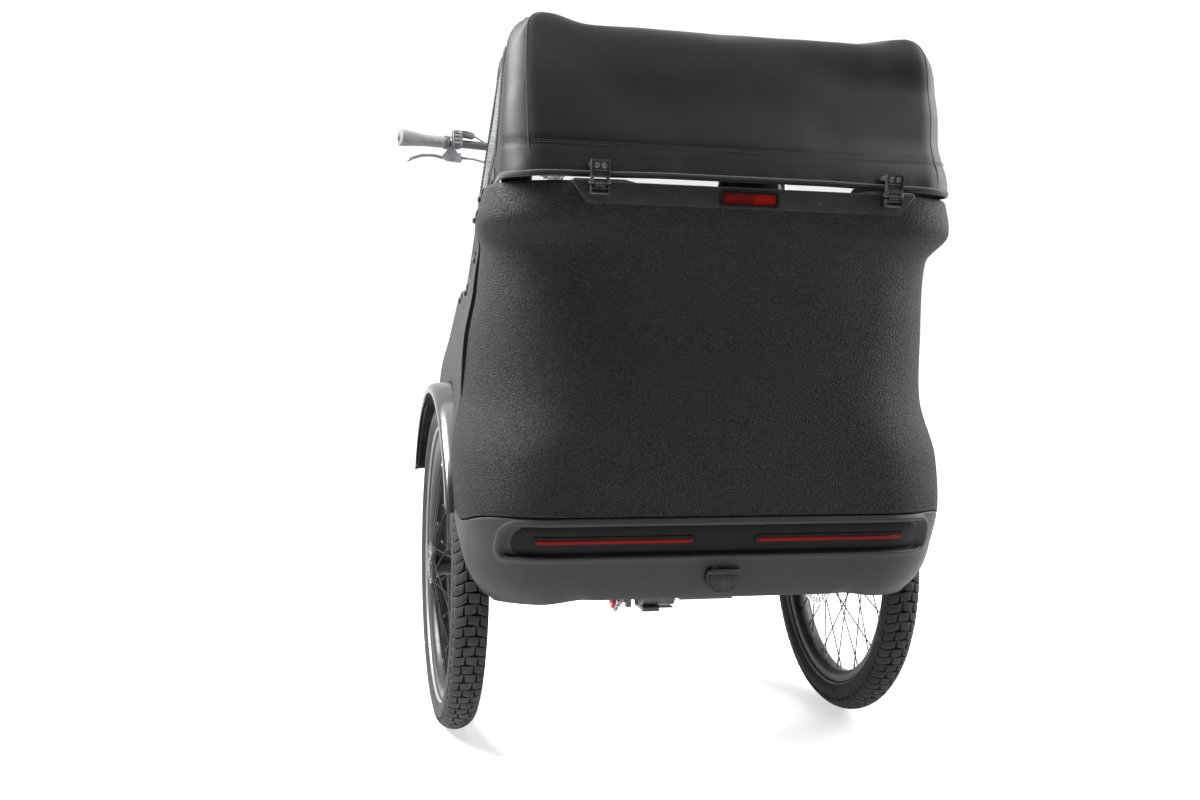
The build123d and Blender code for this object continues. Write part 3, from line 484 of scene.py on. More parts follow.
# The reflectors are no lamps: their small emission is painted glow standing in for light thrown back by the prisms.
REFLEX = lens_material("red_reflector", (0.46, 0.008, 0.008), (0.12, 0.003, 0.003), glow=0.04, cell=1900)
REFLEX_DARK = lens_material("red_reflector_dark", (0.26, 0.006, 0.006), (0.07, 0.002, 0.002), glow=0.02, cell=1900)
AMBER = lens_material("amber_reflector", (0.72, 0.26, 0.02), (0.30, 0.09, 0.006), glow=0.02, cell=2200)
TRIM = finish_of("rail_plastic", (0.0055, 0.0055, 0.0057), (0.008, 0.008, 0.0083), (0.44, 0.58), spec=0.18, patch=14,
                 grain=[("noise", 1500, 0.2, 0.0003)], edge=(0.06, 0.06, 0.062))
CLIP = finish_of("clip_metal", (0.0035, 0.0035, 0.0037), (0.006, 0.006, 0.0063), (0.20, 0.34), spec=0.20, patch=40,
                 coat=0.10, coat_rough=0.12, grain=[("noise", 900, 0.12, 0.0003)], edge=(0.07, 0.07, 0.072))
CLEAR_LAMP = lens_material("clear_lamp", (0.8, 0.82, 0.84), (0.4, 0.42, 0.44), cell=800)
CANOPY = cloth_material("canopy_cloth", (0.0030, 0.0031, 0.0033), (0.0044, 0.0045, 0.0048), rough=(0.46, 0.58),
                        weave=9000, strength=0.12, sheen=0.02, crease=0.10)
SEAT = cloth_material("seat_cloth", (0.070, 0.072, 0.078), (0.10, 0.102, 0.11), rough=(0.8, 0.95), weave=2600,
                      strength=0.5, sheen=0.3)
TAPE = cloth_material("binding_tape", (0.012, 0.012, 0.014), (0.018, 0.018, 0.02), rough=(0.6, 0.75), weave=4200,
                      strength=0.5, sheen=0.15)
THREAD = finish_of("thread", (0.010, 0.0102, 0.011), (0.016, 0.016, 0.017), (0.6, 0.8), patch=200,
                   grain=[("wave", 900, 0.5, 0.0003)])
LEATHER = finish_of("saddle_cover", (0.014, 0.014, 0.014), (0.022, 0.022, 0.021), (0.48, 0.66), spec=0.4, patch=18,
                    grain=[("cells", 520, 0.35, 0.0006), ("noise", 160, 0.15, 0.001)])
WINDOW_SHEET = window_material("clear_sheet")
SCREEN = finish_of("display_glass", (0.012, 0.014, 0.016), (0.016, 0.018, 0.02), (0.05, 0.12), patch=4, coat=0.8)

# ------------------------------------------------------------------ the camera
scene = bpy.context.scene
scene.view_settings.view_transform = "Standard"
scene.view_settings.look = "None"
cam = bpy.data.cameras.new("camera")
cam.lens, cam.sensor_width, cam.clip_end = 38.65, 36.0, 200
cam_ob = bpy.data.objects.new("camera", cam)
scene.collection.objects.link(cam_ob)
yaw, pitch, roll = 0.2284, 0.0656, 0.0227
look = Vector((math.sin(yaw) * math.cos(pitch), math.cos(yaw) * math.cos(pitch), -math.sin(pitch)))
right = Vector((math.cos(yaw), -math.sin(yaw), 0))
up = right.cross(look)
right, up = (math.cos(roll) * right + math.sin(roll) * up, -math.sin(roll) * right + math.cos(roll) * up)
cam_ob.matrix_world = Matrix((
    (right.x, up.x, -look.x, -0.6916), (right.y, up.y, -look.y, -3.1204), (right.z, up.z, -look.z, 0.7997),
    (0, 0, 0, 1)))
scene.camera = cam_ob

# ------------------------------------------------------------------ the studio
floor = Shape()
floor.grid([[(x, y, 0) for y in (-40000, 40000)] for x in (-40000, 40000)])
m, t, b = nodes_of("pale_floor")
c = coords(t)
link(t, blend(t, span(t, tex_noise(t, c, 3, 3), 0, 1), (0.41, 0.41, 0.415), (0.44, 0.44, 0.44)), b.inputs["Base Color"])
link(t, span(t, tex_noise(t, c, 12, 3), 0.35, 0.5), b.inputs["Roughness"])
b.inputs["Emission Color"].default_value = (1, 1, 1, 1)
away = t.nodes.new("ShaderNodeVectorMath")
away.operation = "LENGTH"
link(t, c, away.inputs[0])
link(t, span(t, away.outputs["Value"], 0.62, 0.97, 2.0, 7.0), b.inputs["Emission Strength"])
floor_ob = floor.make("studio_floor", m, None)

world = bpy.data.worlds.new("studio")
scene.world = world
world.use_nodes = True
wt = world.node_tree
bg = wt.nodes["Background"]
wc = wt.nodes.new("ShaderNodeTexCoord")
ws = wt.nodes.new("ShaderNodeSeparateXYZ")
link(wt, wc.outputs["Generated"], ws.inputs[0])
far = span(wt, ws.outputs[1], 0, 1, -0.1, 0.55)
link(wt, blend(wt, far, (0.03, 0.03, 0.031), (1.06, 1.06, 1.06)), bg.inputs["Color"])
bg.inputs["Strength"].default_value = 1.0


def softbox(name, at, aim, size, watts):
    li = bpy.data.lights.new(name, "AREA")
    li.shape, li.size, li.size_y, li.energy = "RECTANGLE", size[0], size[1], watts
    ob = bpy.data.objects.new(name, li)
    scene.collection.objects.link(ob)
    ob.location = at
    ob.rotation_euler = (Vector(aim) - Vector(at)).to_track_quat("-Z", "Y").to_euler()


softbox("left_box", (-2.4, -0.25, 3.1), (-0.3, -0.85, 0.6), (1.9, 2.2), 720)
softbox("right_box", (3.0, -0.95, 2.2), (0.3, -0.8, 0.7), (2.6, 2.8), 300)
softbox("top_box", (0.0, -0.2, 4.2), (0.0, -0.2, 0.0), (4.5, 4.5), 170)
softbox("low_front", (-0.6, -4.4, 2.6), (0.0, -0.8, 0.7), (2.5, 1.6), 8)

# ----------------------------------------------------------- body section tables
BODY = [(325, 426, 375, -420, 395, 147, 50), (392, 446, 392, -440, 400, 155, 50), (473, 447, 398, -460, 400, 150, 50),
        (556, 451, 398, -455, 400, 168, 55), (663, 433, 393, -442, 398, 200, 60), (752, 426, 372, -437, 395, 178, 60),
        (840, 412, 353, -440, 392, 150, 60), (906, 411, 336, -455, 390, 147, 60), (950, 430, 328, -500, 390, 140, 60),
        (1008, 418, 318, -512, 390, 147, 60)]
COLS = [pchip([r[0] for r in BODY], [r[k] for r in BODY]) for k in range(1, 7)]
MID_REAR = pchip([325, 392, 473, 556, 663, 752, 840, 906, 950, 1008],
                 [-420, -440, -460, -452, -443, -444, -458, -478, -495, -512])
WALL, RIM_TOP, SEAM = 34.0, 1008.0, -265.0
ARCH_R = 350.0
SILL_LINE = np.vstack([[(-700, 1008)], corner((-285, 1008), (-620, 1008), (-195, 975), 8, 6),
                       corner((-195, 975), (-285, 1008), (-75, 900), 60, 12),
                       corner((-75, 900), (-195, 975), (60, 846), 90, 12),
                       corner((60, 846), (-75, 900), (420, 832), 90, 12), [(520, 828)]])


def sill(y):
    return np.interp(y, SILL_LINE[:, 0], SILL_LINE[:, 1])


def half_path(z, inset):
    hr, hf, yr, yf, rr, rf = (float(f(z)) for f in COLS)
    hr, hf, yr, yf, rr, rf = hr - inset, hf - inset, yr + inset, yf - inset, rr - inset, rf - inset
    return np.vstack([[(0, yr)], corner((hr, yr), (0, yr), (hf, yf), rr, 48),
                      corner((hf, yf), (hr, yr), (0, yf), rf, 24), [(0, yf)]])


def cut_at(path, y):
    """The part of a path up to the first crossing of y."""
    k = int(np.argmax(path[:, 1] > y))
    a, b = path[k - 1], path[k]
    return np.vstack([path[:k], [a + (b - a) * (y - a[1]) / (b[1] - a[1])]])


def arch_y(z):
    """Y of the rear edge of the wheel arch at height z."""
    return -math.sqrt(max(1.0, ARCH_R ** 2 - (z - WHEEL_R) ** 2))


class Skin:
    """The rear of the body as points by column and height, outer and inner."""

    def __init__(self, z0, z1, y_cut, n):
        self.zs = np.arange(z0, z1 + 4.0, 4.0)
        self.g = []
        for inset in (0.0, WALL):
            levels = []
            for z in self.zs:
                p = spread_along(cut_at(half_path(z, inset), y_cut(z)), n)
                shift = (float(MID_REAR(z)) - float(COLS[2](z))) * (1 - smooth(140, 320, p[:, 0]))
                p[:, 1] += shift
                levels.append(np.vstack([(p * (-1, 1))[:0:-1], p]))
            self.g.append(np.array(levels))

    def at(self, z, inset):
        """One point a column: heights z and depth inset behind the outer face."""
        cols = np.arange(self.g[0].shape[1])
        z = np.broadcast_to(np.asarray(z, float), cols.shape)
        inset = np.broadcast_to(np.asarray(inset, float), cols.shape)
        k = np.clip((z - self.zs[0]) / 4.0, 0, len(self.zs) - 1.001)
        i = k.astype(int)
        f = (k - i)[:, None]
        out = [g[i, cols] * (1 - f) + g[i + 1, cols] * f for g in self.g]
        w = (inset / WALL)[:, None]
        return np.column_stack([out[0] * (1 - w) + out[1] * w, z])


def dip_of(n):
    """How far the joint of shell and bumper sinks round the rear corners."""
    w = np.abs(np.linspace(-1, 1, 2 * n - 1))
    return pchip([0.0, 0.72, 0.80, 0.86, 0.91, 0.945, 0.975, 1.0], [0, 0, 2.5, 8, 14, 16, 11, 3])(w)


# -------------------------------------------------------------- box: rear shell
NS = 120
skin = Skin(440, 1020, lambda z: min(SEAM - 1.5, arch_y(z)) if z < 545 else SEAM - 1.5, NS)
dip = dip_of(NS)
low = 473.0 - dip
top_y = skin.at(RIM_TOP, 0)[:, 1]
high = np.minimum(RIM_TOP, sill(top_y))
R = 7.0
rows = [skin.at(low + (high - R - low) * v, 0) for v in np.linspace(0, 1, 74)]
for a in np.linspace(0, 90, 5)[1:]:
    rows.append(skin.at(high - R + R * math.sin(rad(a)), R * (1 - math.cos(rad(a)))))
for a in np.linspace(90, 0, 5):
    rows.append(skin.at(high - R + R * math.sin(rad(a)), WALL - R * (1 - math.cos(rad(a)))))
rows += [skin.at(low + (high - R - low) * v, WALL) for v in np.linspace(0.97, 0, 26)]
s = Shape()
s.grid(rows, cu=True, cap_v=True)
s.make("rear_shell", FOAM, "rear_chassis", ["box_rear_shell"], "foam_shell", angle=45)

# ---------------------------------------------------------------------- bumper
NB = 280
bskin = Skin(312, 480, arch_y, NB)
dip = dip_of(NB)
top = 471.5 - dip
ref = bskin.at(431.0, 0)
run = np.concatenate([[0], np.cumsum(np.linalg.norm(np.diff(ref[:, :2], axis=0), axis=1))])
run -= run[NB - 1]
s_lim = float(np.interp(385.0, ref[NB - 1:, 0], run[NB - 1:]))
corner_w = smooth(0.5, 0.62, np.abs(np.linspace(-1, 1, 2 * NB - 1)))
base_z = 325.0 - 8.0 * smooth(0.58, 0.78, np.abs(np.linspace(-1, 1, 2 * NB - 1)))


def box_sdf(sx, z, hx, zc, hz, r):
    qx, qz = np.abs(sx) - (hx - r), np.abs(z - zc) - (hz - r)
    return np.hypot(np.maximum(qx, 0), np.maximum(qz, 0)) + np.minimum(np.maximum(qx, qz), 0) - r


def bumper_row(z, inset=0.0, face=True):
    z = np.broadcast_to(np.asarray(z, float), top.shape)
    low_t = np.clip((base_z + 47.0 - z) / 47.0, 0, 0.97)
    deep = (16 + 8 * corner_w) * (1 - np.sqrt(1 - low_t ** 2))
    if face:
        slant = run + np.sign(run) * 0.75 * (z - 431)
        d = box_sdf(slant, z, s_lim - 13, 431, 26, 17)
        deep = deep + 10.5 * smooth(1.2, -2.0, d) - 2.6 * np.exp(-((d - 5) / 4.5) ** 2)
    return bskin.at(z, np.minimum(deep + inset, WALL - 1))


R = 5.0
zf = np.concatenate([np.linspace(325, 394, 24), np.linspace(396, 468, 72)])
rows = []
for z in zf:
    frac = (z - 325) / (468 - 325)
    rows.append(bumper_row(325 + (top - 325 - R) * frac + (base_z - 325) * max(0.0, 1 - 3.0 * frac)))
for a in np.linspace(0, 90, 5)[1:]:
    rows.append(bumper_row(top - R + R * math.sin(rad(a)), R * (1 - math.cos(rad(a))), False))
rows += [bskin.at(top - R * 0.0, 30), bskin.at(top - 30, 33.5), bskin.at(380, 33.5), bskin.at(334, 33.5)]
s = Shape()
s.grid(rows, cu=True, cap_v=True)
s.make("rear_bumper_skin", BUMPER, "rear_chassis", ["rear_bumper"], "side_plastic", angle=50)


def along(s_at, z, inset):
    """Point on the bumper at run s_at from the middle, height z, depth inset."""
    row = bskin.at(z, inset)
    return [np.interp(s_at, run, row[:, k]) for k in range(3)]


s = Shape()
s_pan = s_lim - 18
stations = np.concatenate([np.linspace(-s_pan + 5, -s_pan + 26, 8), np.linspace(-s_pan + 34, s_pan - 34, 130),
                           np.linspace(s_pan - 26, s_pan - 5, 8)])
rows = []
for sx in stations:
    h = 23.6 * math.sqrt(max(0.05, 1 - max(0, (abs(sx) - (s_pan - 26)) / 21.5) ** 2))
    lean = -0.75 * math.copysign(1, sx) * float(smooth(s_pan - 90, s_pan - 20, abs(sx)))
    loop = [along(sx + lean * h * k, 431 + h * k, 7.4 + 1.6 * abs(k) ** 4) for k in np.linspace(-1, 1, 13)]
    loop += [along(sx + lean * h * k, 431 + h * k, 12.5) for k in np.linspace(1, -1, 5)]
    rows.append(loop)
s.grid(rows, cv=True, cap_u=True)
s_in, s_out = (float(np.interp(x, ref[NB - 1:, 0], run[NB - 1:])) for x in (58.0, 326.0))
for sg in (-1, 1):
    rows = []
    a0, a1 = s_in - 6, s_out + 6
    for sx in np.concatenate([np.linspace(a0, a0 + 8, 5), np.linspace(a0 + 16, a1 - 16, 40), np.linspace(a1 - 8, a1, 5)]):
        e = min(sx - a0, a1 - sx)
        h = 9.0 * math.sqrt(max(0.06, 1 - max(0, 1 - e / 9.0) ** 2))
        rows.append([along(sg * sx, 430 + h * math.sin(q), 6.6 - 1.5 * max(0.0, math.cos(q)) ** 0.5)
                     for q in np.linspace(-math.pi / 2, 1.5 * math.pi, 20, endpoint=False)])
    s.grid(rows, cv=True, cap_u=True)
s.make("lamp_bar", PANEL, "rear_chassis", ["light_bar"], "black_plastic", angle=40)

s = Shape()
for sg in (-1, 1):
    rows = []
    for sx in np.concatenate([np.linspace(s_in, s_in + 3, 4), np.linspace(s_in + 8, s_out - 8, 44),
                              np.linspace(s_out - 3, s_out, 4)]):
        e = min(sx - s_in, s_out - sx)
        h = 3.4 * math.sqrt(max(0.1, 1 - max(0, 1 - e / 3.4) ** 2))
        rows.append([along(sg * sx, 430 + h * math.sin(q), 4.9 - 1.5 * (h / 3.4) * math.cos(q))
                     for q in np.linspace(0, 2 * math.pi, 12, endpoint=False)])
    s.grid(rows, cv=True, cap_u=True)
s.make("light_strips", LAMP, "rear_chassis", ["tail_lights"], "red_lens", angle=60)

# ---------------------------------------------------------- box: sides and front
side_zs = np.arange(425, 1025, 6.0)
side_x = {}
for inset in (0.0, WALL):
    tab = []
    for z in side_zs:
        p = half_path(z, inset)
        k = int(np.argmax(p[:, 0]))
        k0 = int(np.argmax(p[:, 1] > p[0, 1] + 1))
        tab.append((p[k0 - 1:, 1], p[k0 - 1:, 0]))
    side_x[inset] = tab


def x_side(y, z, inset):
    k = np.clip((z - side_zs[0]) / 6.0, 0, len(side_zs) - 1.001)
    i = int(k)
    f = k - i
    v = [np.interp(y, *side_x[i0][j]) for i0 in (0.0, WALL) for j in (i, i + 1)]
    a, b = v[0] * (1 - f) + v[1] * f, v[2] * (1 - f) + v[3] * f
    return a + (b - a) * inset / WALL


def sill_loop(y, z0, point):
    """Closed section through a side wall at y from z0 up to the sill."""
    z1, r, q = float(sill(y)), 6.0, 3.0
    loop = [point(z0, q)] + [point(z, 0) for z in np.linspace(z0 + q, z1 - r, 30)]
    loop += [point(z1 - r + r * math.sin(rad(a)), r * (1 - math.cos(rad(a)))) for a in (22, 45, 67, 90)]
    loop += [point(z1 - r + r * math.sin(rad(a)), WALL - r * (1 - math.cos(rad(a)))) for a in (90, 67, 45, 22)]
    loop += [point(z, WALL) for z in np.linspace(z1 - r, z0 + q, 14)] + [point(z0, WALL - q)]
    return loop


def lip_of(z):
    """Height share of the raised lip along the joint, nil at both ends."""
    return float(np.clip(math.sin(math.pi * np.clip((z - LIP_LOW) / (LIP_TOP - LIP_LOW), 0, 1)), 0, 1)) ** 0.55


LIP_LOW, LIP_TOP = 655.0, 925.0
for word, sg in (("left", -1), ("right", 1)):
    # A near-black strip along the joint, proud of the skin beside the raised lip: painted shade standing in for the
    # shadowed groove.
    s = Shape()
    rows = []
    for z in np.linspace(LIP_LOW, LIP_TOP, 48):
        f = lip_of(z)
        x0, x1 = x_side(SEAM - 3, z, 0), x_side(SEAM + 1, z, 0)
        rows.append([(sg * (x0 - 2.5), SEAM - 3.4, z), (sg * (x0 + 0.3), SEAM - 3.0, z), (sg * (x1 + 0.2 + 6.6 * f), SEAM - 0.4, z),
                     (sg * (x1 + 0.2 + 6.6 * f), SEAM + 2.0, z), (sg * (x1 - 2.5), SEAM + 2.0, z)])
    s.grid(rows, cv=True, cap_u=True)
    s.make(f"joint_shadow_strip_{word}", GAP_SHADE, "rear_chassis", slot="black_plastic", angle=40)
    s = Shape()
    rows = []
    for y in np.concatenate([np.linspace(SEAM + 1.5, SEAM + 60, 24), np.linspace(SEAM + 64, 330, 90)]):
        z0 = WHEEL_R + math.sqrt(ARCH_R ** 2 - y * y)
        fade = float(smooth(150, 0, y - SEAM))
        rows.append(sill_loop(y, z0, lambda z, i: (sg * (x_side(y, z, i) + (6.6 * fade * lip_of(z) if i == 0 else 0)), y, z)))
    s.grid(rows, cv=True, cap_u=True)
    s.make(f"side_panel_{word}", SIDE_FOAM_PAINTED_LIT, "rear_chassis", [f"box_side_{word}"], "side_plastic", angle=45)

s = Shape()
NF = 70
front_tabs = {}
for inset in (0.0, WALL):
    lev = []
    for z in np.arange(366, 850, 6.0):
        p = half_path(z, inset)[::-1]
        k = int(np.argmax(p[:, 1] < 331))
        a, c2 = p[k - 1], p[k]
        p = np.vstack([p[:k], [a + (c2 - a) * (331 - a[1]) / (c2[1] - a[1])]])
        p = spread_along(p, NF)
        lev.append(np.vstack([(p * (-1, 1))[:0:-1], p]))
    front_tabs[inset] = np.array(lev)


def front_pt(col, z, inset):
    k = np.clip((z - 366) / 6.0, 0, len(front_tabs[0.0]) - 1.001)
    i, f = int(k), k - int(k)
    a = front_tabs[0.0][i, col] * (1 - f) + front_tabs[0.0][i + 1, col] * f
    b2 = front_tabs[WALL][i, col] * (1 - f) + front_tabs[WALL][i + 1, col] * f
    p = a + (b2 - a) * inset / WALL
    return (p[0], p[1], z)


rows = [sill_loop(float(front_tabs[0.0][60, c, 1]), 371, lambda z, i: front_pt(c, z, i)) for c in range(2 * NF - 1)]
s.grid(rows, cv=True, cap_u=True)
s.make("front_wall", SIDE_FOAM_PAINTED_LIT, "rear_chassis", ["box_front_wall"], "side_plastic", angle=45)

# --------------------------------------------------------------------- fenders
for word, sg in (("left", -1), ("right", 1)):
    s = Shape()
    rows = []
    for a in np.linspace(25, 155, 90):
        e = smooth(0, 4, min(a - 25, 155 - a))
        lip = 4 + 13 * e
        sec = [(380, 349.6), (420, 349.5), (436, 348.8), (444, 347.2), (449, 344), (451.4, 340), (451.9, 336),
               (451.9, 346 - lip), (451, 345 - lip), (449.6, 346 - lip), (449.4, 336.5), (448.2, 340.5), (445.5, 343.2),
               (441, 345), (434, 346), (420, 346.6), (380, 346.7)]
        sec = [(x, min(r, 349.6) if r > 346 - lip else 345.5 - lip * 0.95) for x, r in sec]
        rows.append([(sg * x, r * math.cos(rad(a)), WHEEL_R + r * math.sin(rad(a))) for x, r in sec])
    s.grid(rows, cv=True, cap_u=True)
    s.make(f"wheel_arch_{word}", GLOSS, "rear_chassis", [f"fender_{word}"], "gloss_black", angle=50)

# ---------------------------------------------------------------------- canopy
CAN = [(800, 398, 342, -565, 84, 60), (1012, 394, 316, -503, 64, 60), (1180, 388, 290, -430, 48, 60),
       (1292, 380, 270, -366, 40, 60), (1380, 372, 256, -312, 34, 60)]
CANF = [pchip([r[0] for r in CAN], [r[k] for r in CAN]) for k in range(1, 6)]
ROOF = pchip([-420, -366, -250, -80, 80, 205, 260], [1268, 1278, 1296, 1311, 1312, 1305, 1299])


def canopy_front(z):
    return 392.0 - (z - 830.0) * (187.0 / 482.0)


def canopy_half(z):
    hr, hf, yr, rr, rf = (float(f(z)) for f in CANF)
    yf = float(canopy_front(z))
    full = 430.0 + (z - 1012) * (-0.178)   # where the loft's own front lies
    hf = hr + (hf - hr) * (yf - yr) / (full - yr)
    a = corner((hr, yr), (0, yr), (hf, yf), rr, 18)
    f = corner((hf, yf), (hr, yr), (0, yf), rf, 12)
    lead = np.linspace((0, yr), a[0], 34)[:-1]
    sidep = np.linspace(a[-1], f[0], 70)[1:-1]
    tail = np.linspace(f[-1], (0, yf), 20)[1:]
    return np.vstack([lead, a, sidep, f, tail])


CZ = np.arange(800, 1372, 6.0)
CG = np.array([canopy_half(z) for z in CZ])
NC = CG.shape[1]
LEAD, TURN = 33, 18   # columns across half the rear, and round the rear corner


def can_xy(i, z):
    k = np.clip((z - CZ[0]) / 6.0, 0, len(CZ) - 1.001)
    j = int(k)
    return CG[j, i] * (1 - (k - j)) + CG[j + 1, i] * (k - j)


def roof_half(y):
    return 380.0 - 110.0 * (y + 366.0) / 746.0


def ridge(x, y):
    """The cloth stands up over the hoop tubes along both sides of the roof."""
    near = 0.35 + 0.65 * max(math.exp(-((y + 366) / 110) ** 2), math.exp(-((y - 170) / 110) ** 2))
    w = roof_half(y)
    return 14.0 * near * float(smooth(w - 140, w - 58, abs(x)))


def roof_z(x, y):
    return float(ROOF(y)) + ridge(x, y)


def hem_gap(x, y):
    """Height of the hem above the rim: open behind, drawn down at the corners and along the sides."""
    if y > -400:
        return 6.0
    return 10.5 - 2.5 * float(smooth(120, 260, abs(x))) - 3.0 * float(smooth(285, 385, abs(x)))


def canopy_columns():
    level = CG[int((1200 - 800) / 6)]
    tang = np.gradient(level, axis=0)
    side_on = np.abs(tang[:, 1]) / np.maximum(np.hypot(tang[:, 0], tang[:, 1]), 1e-6)
    cols = []
    for i in range(NC):
        zb = 1012.0
        for _ in range(14):
            x, y = can_xy(i, zb)
            zb = 0.5 * zb + 0.5 * (float(sill(y)) + hem_gap(x, y))
        zt = 1290.0
        for _ in range(12):
            x, y = can_xy(i, zt)
            zt = roof_z(x, y)
        r = 24.0 + 44.0 * float(smooth(0.25, 0.95, side_on[i]))
        w = [(*can_xy(i, zb + (zt - r - zb) * v), zb + (zt - r - zb) * v) for v in np.linspace(0, 1, 46)]
        ex, ey = can_xy(i, zt)
        mid = np.array((0.0, -85.0 + 0.78 * (ey + 85.0)))
        d = np.array((ex, ey)) - mid
        k0 = min(0.5, r / max(60.0, np.linalg.norm(d)))

        def roof(k):
            p = mid + d * (1 - k)
            return np.array((p[0], p[1], roof_z(p[0], p[1])))
        e, q = np.array((ex, ey, zt)), roof(k0)
        for u in np.linspace(0, 1, 9)[1:]:
            w.append(tuple((1 - u) ** 2 * np.array(w[45]) + 2 * u * (1 - u) * e + u * u * q))
        w += [tuple(roof(k)) for k in k0 + (1 - k0) * np.linspace(0, 1, 24)[1:]]
        cols.append(w)
    return np.array(cols)


cols = canopy_columns()
loop = np.concatenate([cols, (cols * (-1, 1, 1))[-2:0:-1]])


def canopy_shell(name, grow, thick, mat):
    s = Shape()
    p = loop.copy()
    s.grid(p, cu=True)
    ob = s.make(name, mat, None, weld=0.0004)
    me = ob.data
    n = np.array([v.normal for v in me.vertices])
    co = np.array([v.co for v in me.vertices])
    mid = np.array((0, -0.7, 1.1))
    if ((co - mid) * n).sum() < 0:
        me.flip_normals()
        n = -n
    wob = np.array([0.0018 * noise.noise(Vector((c[0] * 7, c[1] * 7, c[2] * 4)))
                    + 0.0010 * noise.noise(Vector((c[0] * 19, c[1] * 19, c[2] * 6)))
                    for c in co])
    rear = np.clip((-0.95 - co[:, 1]) / 0.1, 0, 1)
    sag = 0.006 * rear * np.exp(-((co[:, 2] - 1.15) / 0.07) ** 2) * (1 - smooth(0.12, 0.34, np.abs(co[:, 0])))
    # the turned hem is a little fuller than the panel, with small puckers along its stitching
    hemz = (co[:, 2] - 1.022) / 0.022
    puck = rear * np.exp(-hemz ** 2) * (0.0016 + 0.0009 * np.sin(co[:, 0] * 118) * np.cos(co[:, 0] * 37 + 1.0))
    draw = rear * 0.0016 * np.exp(-((co[:, 2] - 1.068) / 0.006) ** 2)
    co = co + n * (wob + grow * 0.001 - sag + puck - draw)[:, None]
    me.vertices.foreach_set("co", co.astype(np.float32).ravel())
    me.update()
    mod = ob.modifiers.new("thick", "SOLIDIFY")
    mod.thickness, mod.offset, mod.use_rim = thick * 0.001, -1, True
    return apply_modifiers(ob)


WINDOW = [(-335, 1080), (-285, 1240), (20, 1275), (150, 1262), (235, 1030), (120, 945), (-20, 975), (-120, 1055)]
WIN_R = [30, 40, 60, 40, 40, 40, 60, 60]
side_window = rounded(WINDOW, WIN_R, 10)
front_window = rounded([(-215, 925), (215, 925), (215, 1225), (-215, 1225)], [45] * 4, 10)


def cutter():
    s = Shape()
    for sg in (-1, 1):
        s.prism(side_window[::-1], lambda a, b, c: (sg * (200 + c), a, b), 300)
    s.prism(front_window, lambda a, b, c: (a, 205 + c, b), 320)
    return s.make("window_cutter", BLACK, None)


def cut_with(ob, tool, op):
    mod = ob.modifiers.new("cut", "BOOLEAN")
    mod.object, mod.operation, mod.solver = tool, op, "EXACT"
    apply_modifiers(ob)
    shade(ob, 50)
    return ob


RIGHT_SWAY = pchip([900, 1000, 1050, 1110, 1160, 1220, 1290, 1340], [-10, -13, -8, 0, 9, 13, 10, 8])
LEFT_SWAY = pchip([900, 1060, 1150, 1230, 1290, 1325, 1350], [0, 0, 4, 8, 14, 22, 24])


def sway(ob):
    """The cover hangs a little to the right: fuller at mid height there, drawn in at the left of the roof."""
    me = ob.data
    co = np.empty(len(me.vertices) * 3, np.float32)
    me.vertices.foreach_get("co", co)
    co = co.reshape(-1, 3)
    x, y, z = co[:, 0] * 1000, co[:, 1] * 1000 - AHEAD, co[:, 2] * 1000
    rear = smooth(120, -220, y)
    dx = np.where(x > 0, RIGHT_SWAY(np.clip(z, 900, 1340)), LEFT_SWAY(np.clip(z, 900, 1350)))
    co[:, 0] += 0.001 * dx * rear * smooth(150, 350, np.abs(x))
    co[:, 1] += 0.026 * smooth(40, 390, x) * smooth(-250, -420, y) * smooth(1035, 1110, z) * (1 - smooth(1190, 1270, z))
    me.vertices.foreach_set("co", co.ravel())
    me.update()


tool = cutter()
canopy = cut_with(canopy_shell("canopy_cover", 0.0, 2.4, CANOPY), tool, "DIFFERENCE")
sway(canopy)
place_on(canopy, "canopy", ["canopy_fabric"])
panes = cut_with(canopy_shell("clear_panes", -0.7, 0.8, WINDOW_SHEET), tool, "INTERSECT")
sway(panes)
place_on(panes, "canopy", ["canopy_windows"])
bpy.data.objects.remove(tool, do_unlink=True)


def can_side(y, z, out=0.0):
    """Point on the canopy's right side at y, z, moved out from the face."""
    k = np.clip((z - CZ[0]) / 6.0, 0, len(CZ) - 1.001)
    j = int(k)
    g = CG[j] * (1 - (k - j)) + CG[j + 1] * (k - j)
    return np.array((float(np.interp(y, g[LEAD:, 1], g[LEAD:, 0])) + out, y, z))


def offset_outline(p, d):
    t = np.roll(p, -1, 0) - np.roll(p, 1, 0)
    t /= np.maximum(np.linalg.norm(t, axis=1), 1e-9)[:, None]
    n = np.stack([t[:, 1], -t[:, 0]], 1)
    c = p.mean(0)
    if ((p - c) * n).sum() < 0:
        n = -n
    return p + n * d


trim = Shape()
win = spread_along(np.vstack([side_window, side_window[:1]]), 150)[:-1]
for sg in (-1, 1):
    rows = []
    for d, out in ((-5, 0.4), (-4, 2.2), (10, 2.2), (11, 0.4), (10, -0.4), (-4, -0.4)):
        rows.append([can_side(y, z, out) * (sg, 1, 1) for y, z in offset_outline(win, d)])
    trim.grid(rows, cu=True, cv=True)
fw = spread_along(np.vstack([front_window, front_window[:1]]), 110)[:-1]
rows = []
for d, out in ((-5, 0.4), (-4, 2.2), (10, 2.2), (11, 0.4), (10, -0.4), (-4, -0.4)):
    rows.append([(x, canopy_front(z) + out, z) for x, z in offset_outline(fw, d)])
trim.grid(rows, cu=True, cv=True)
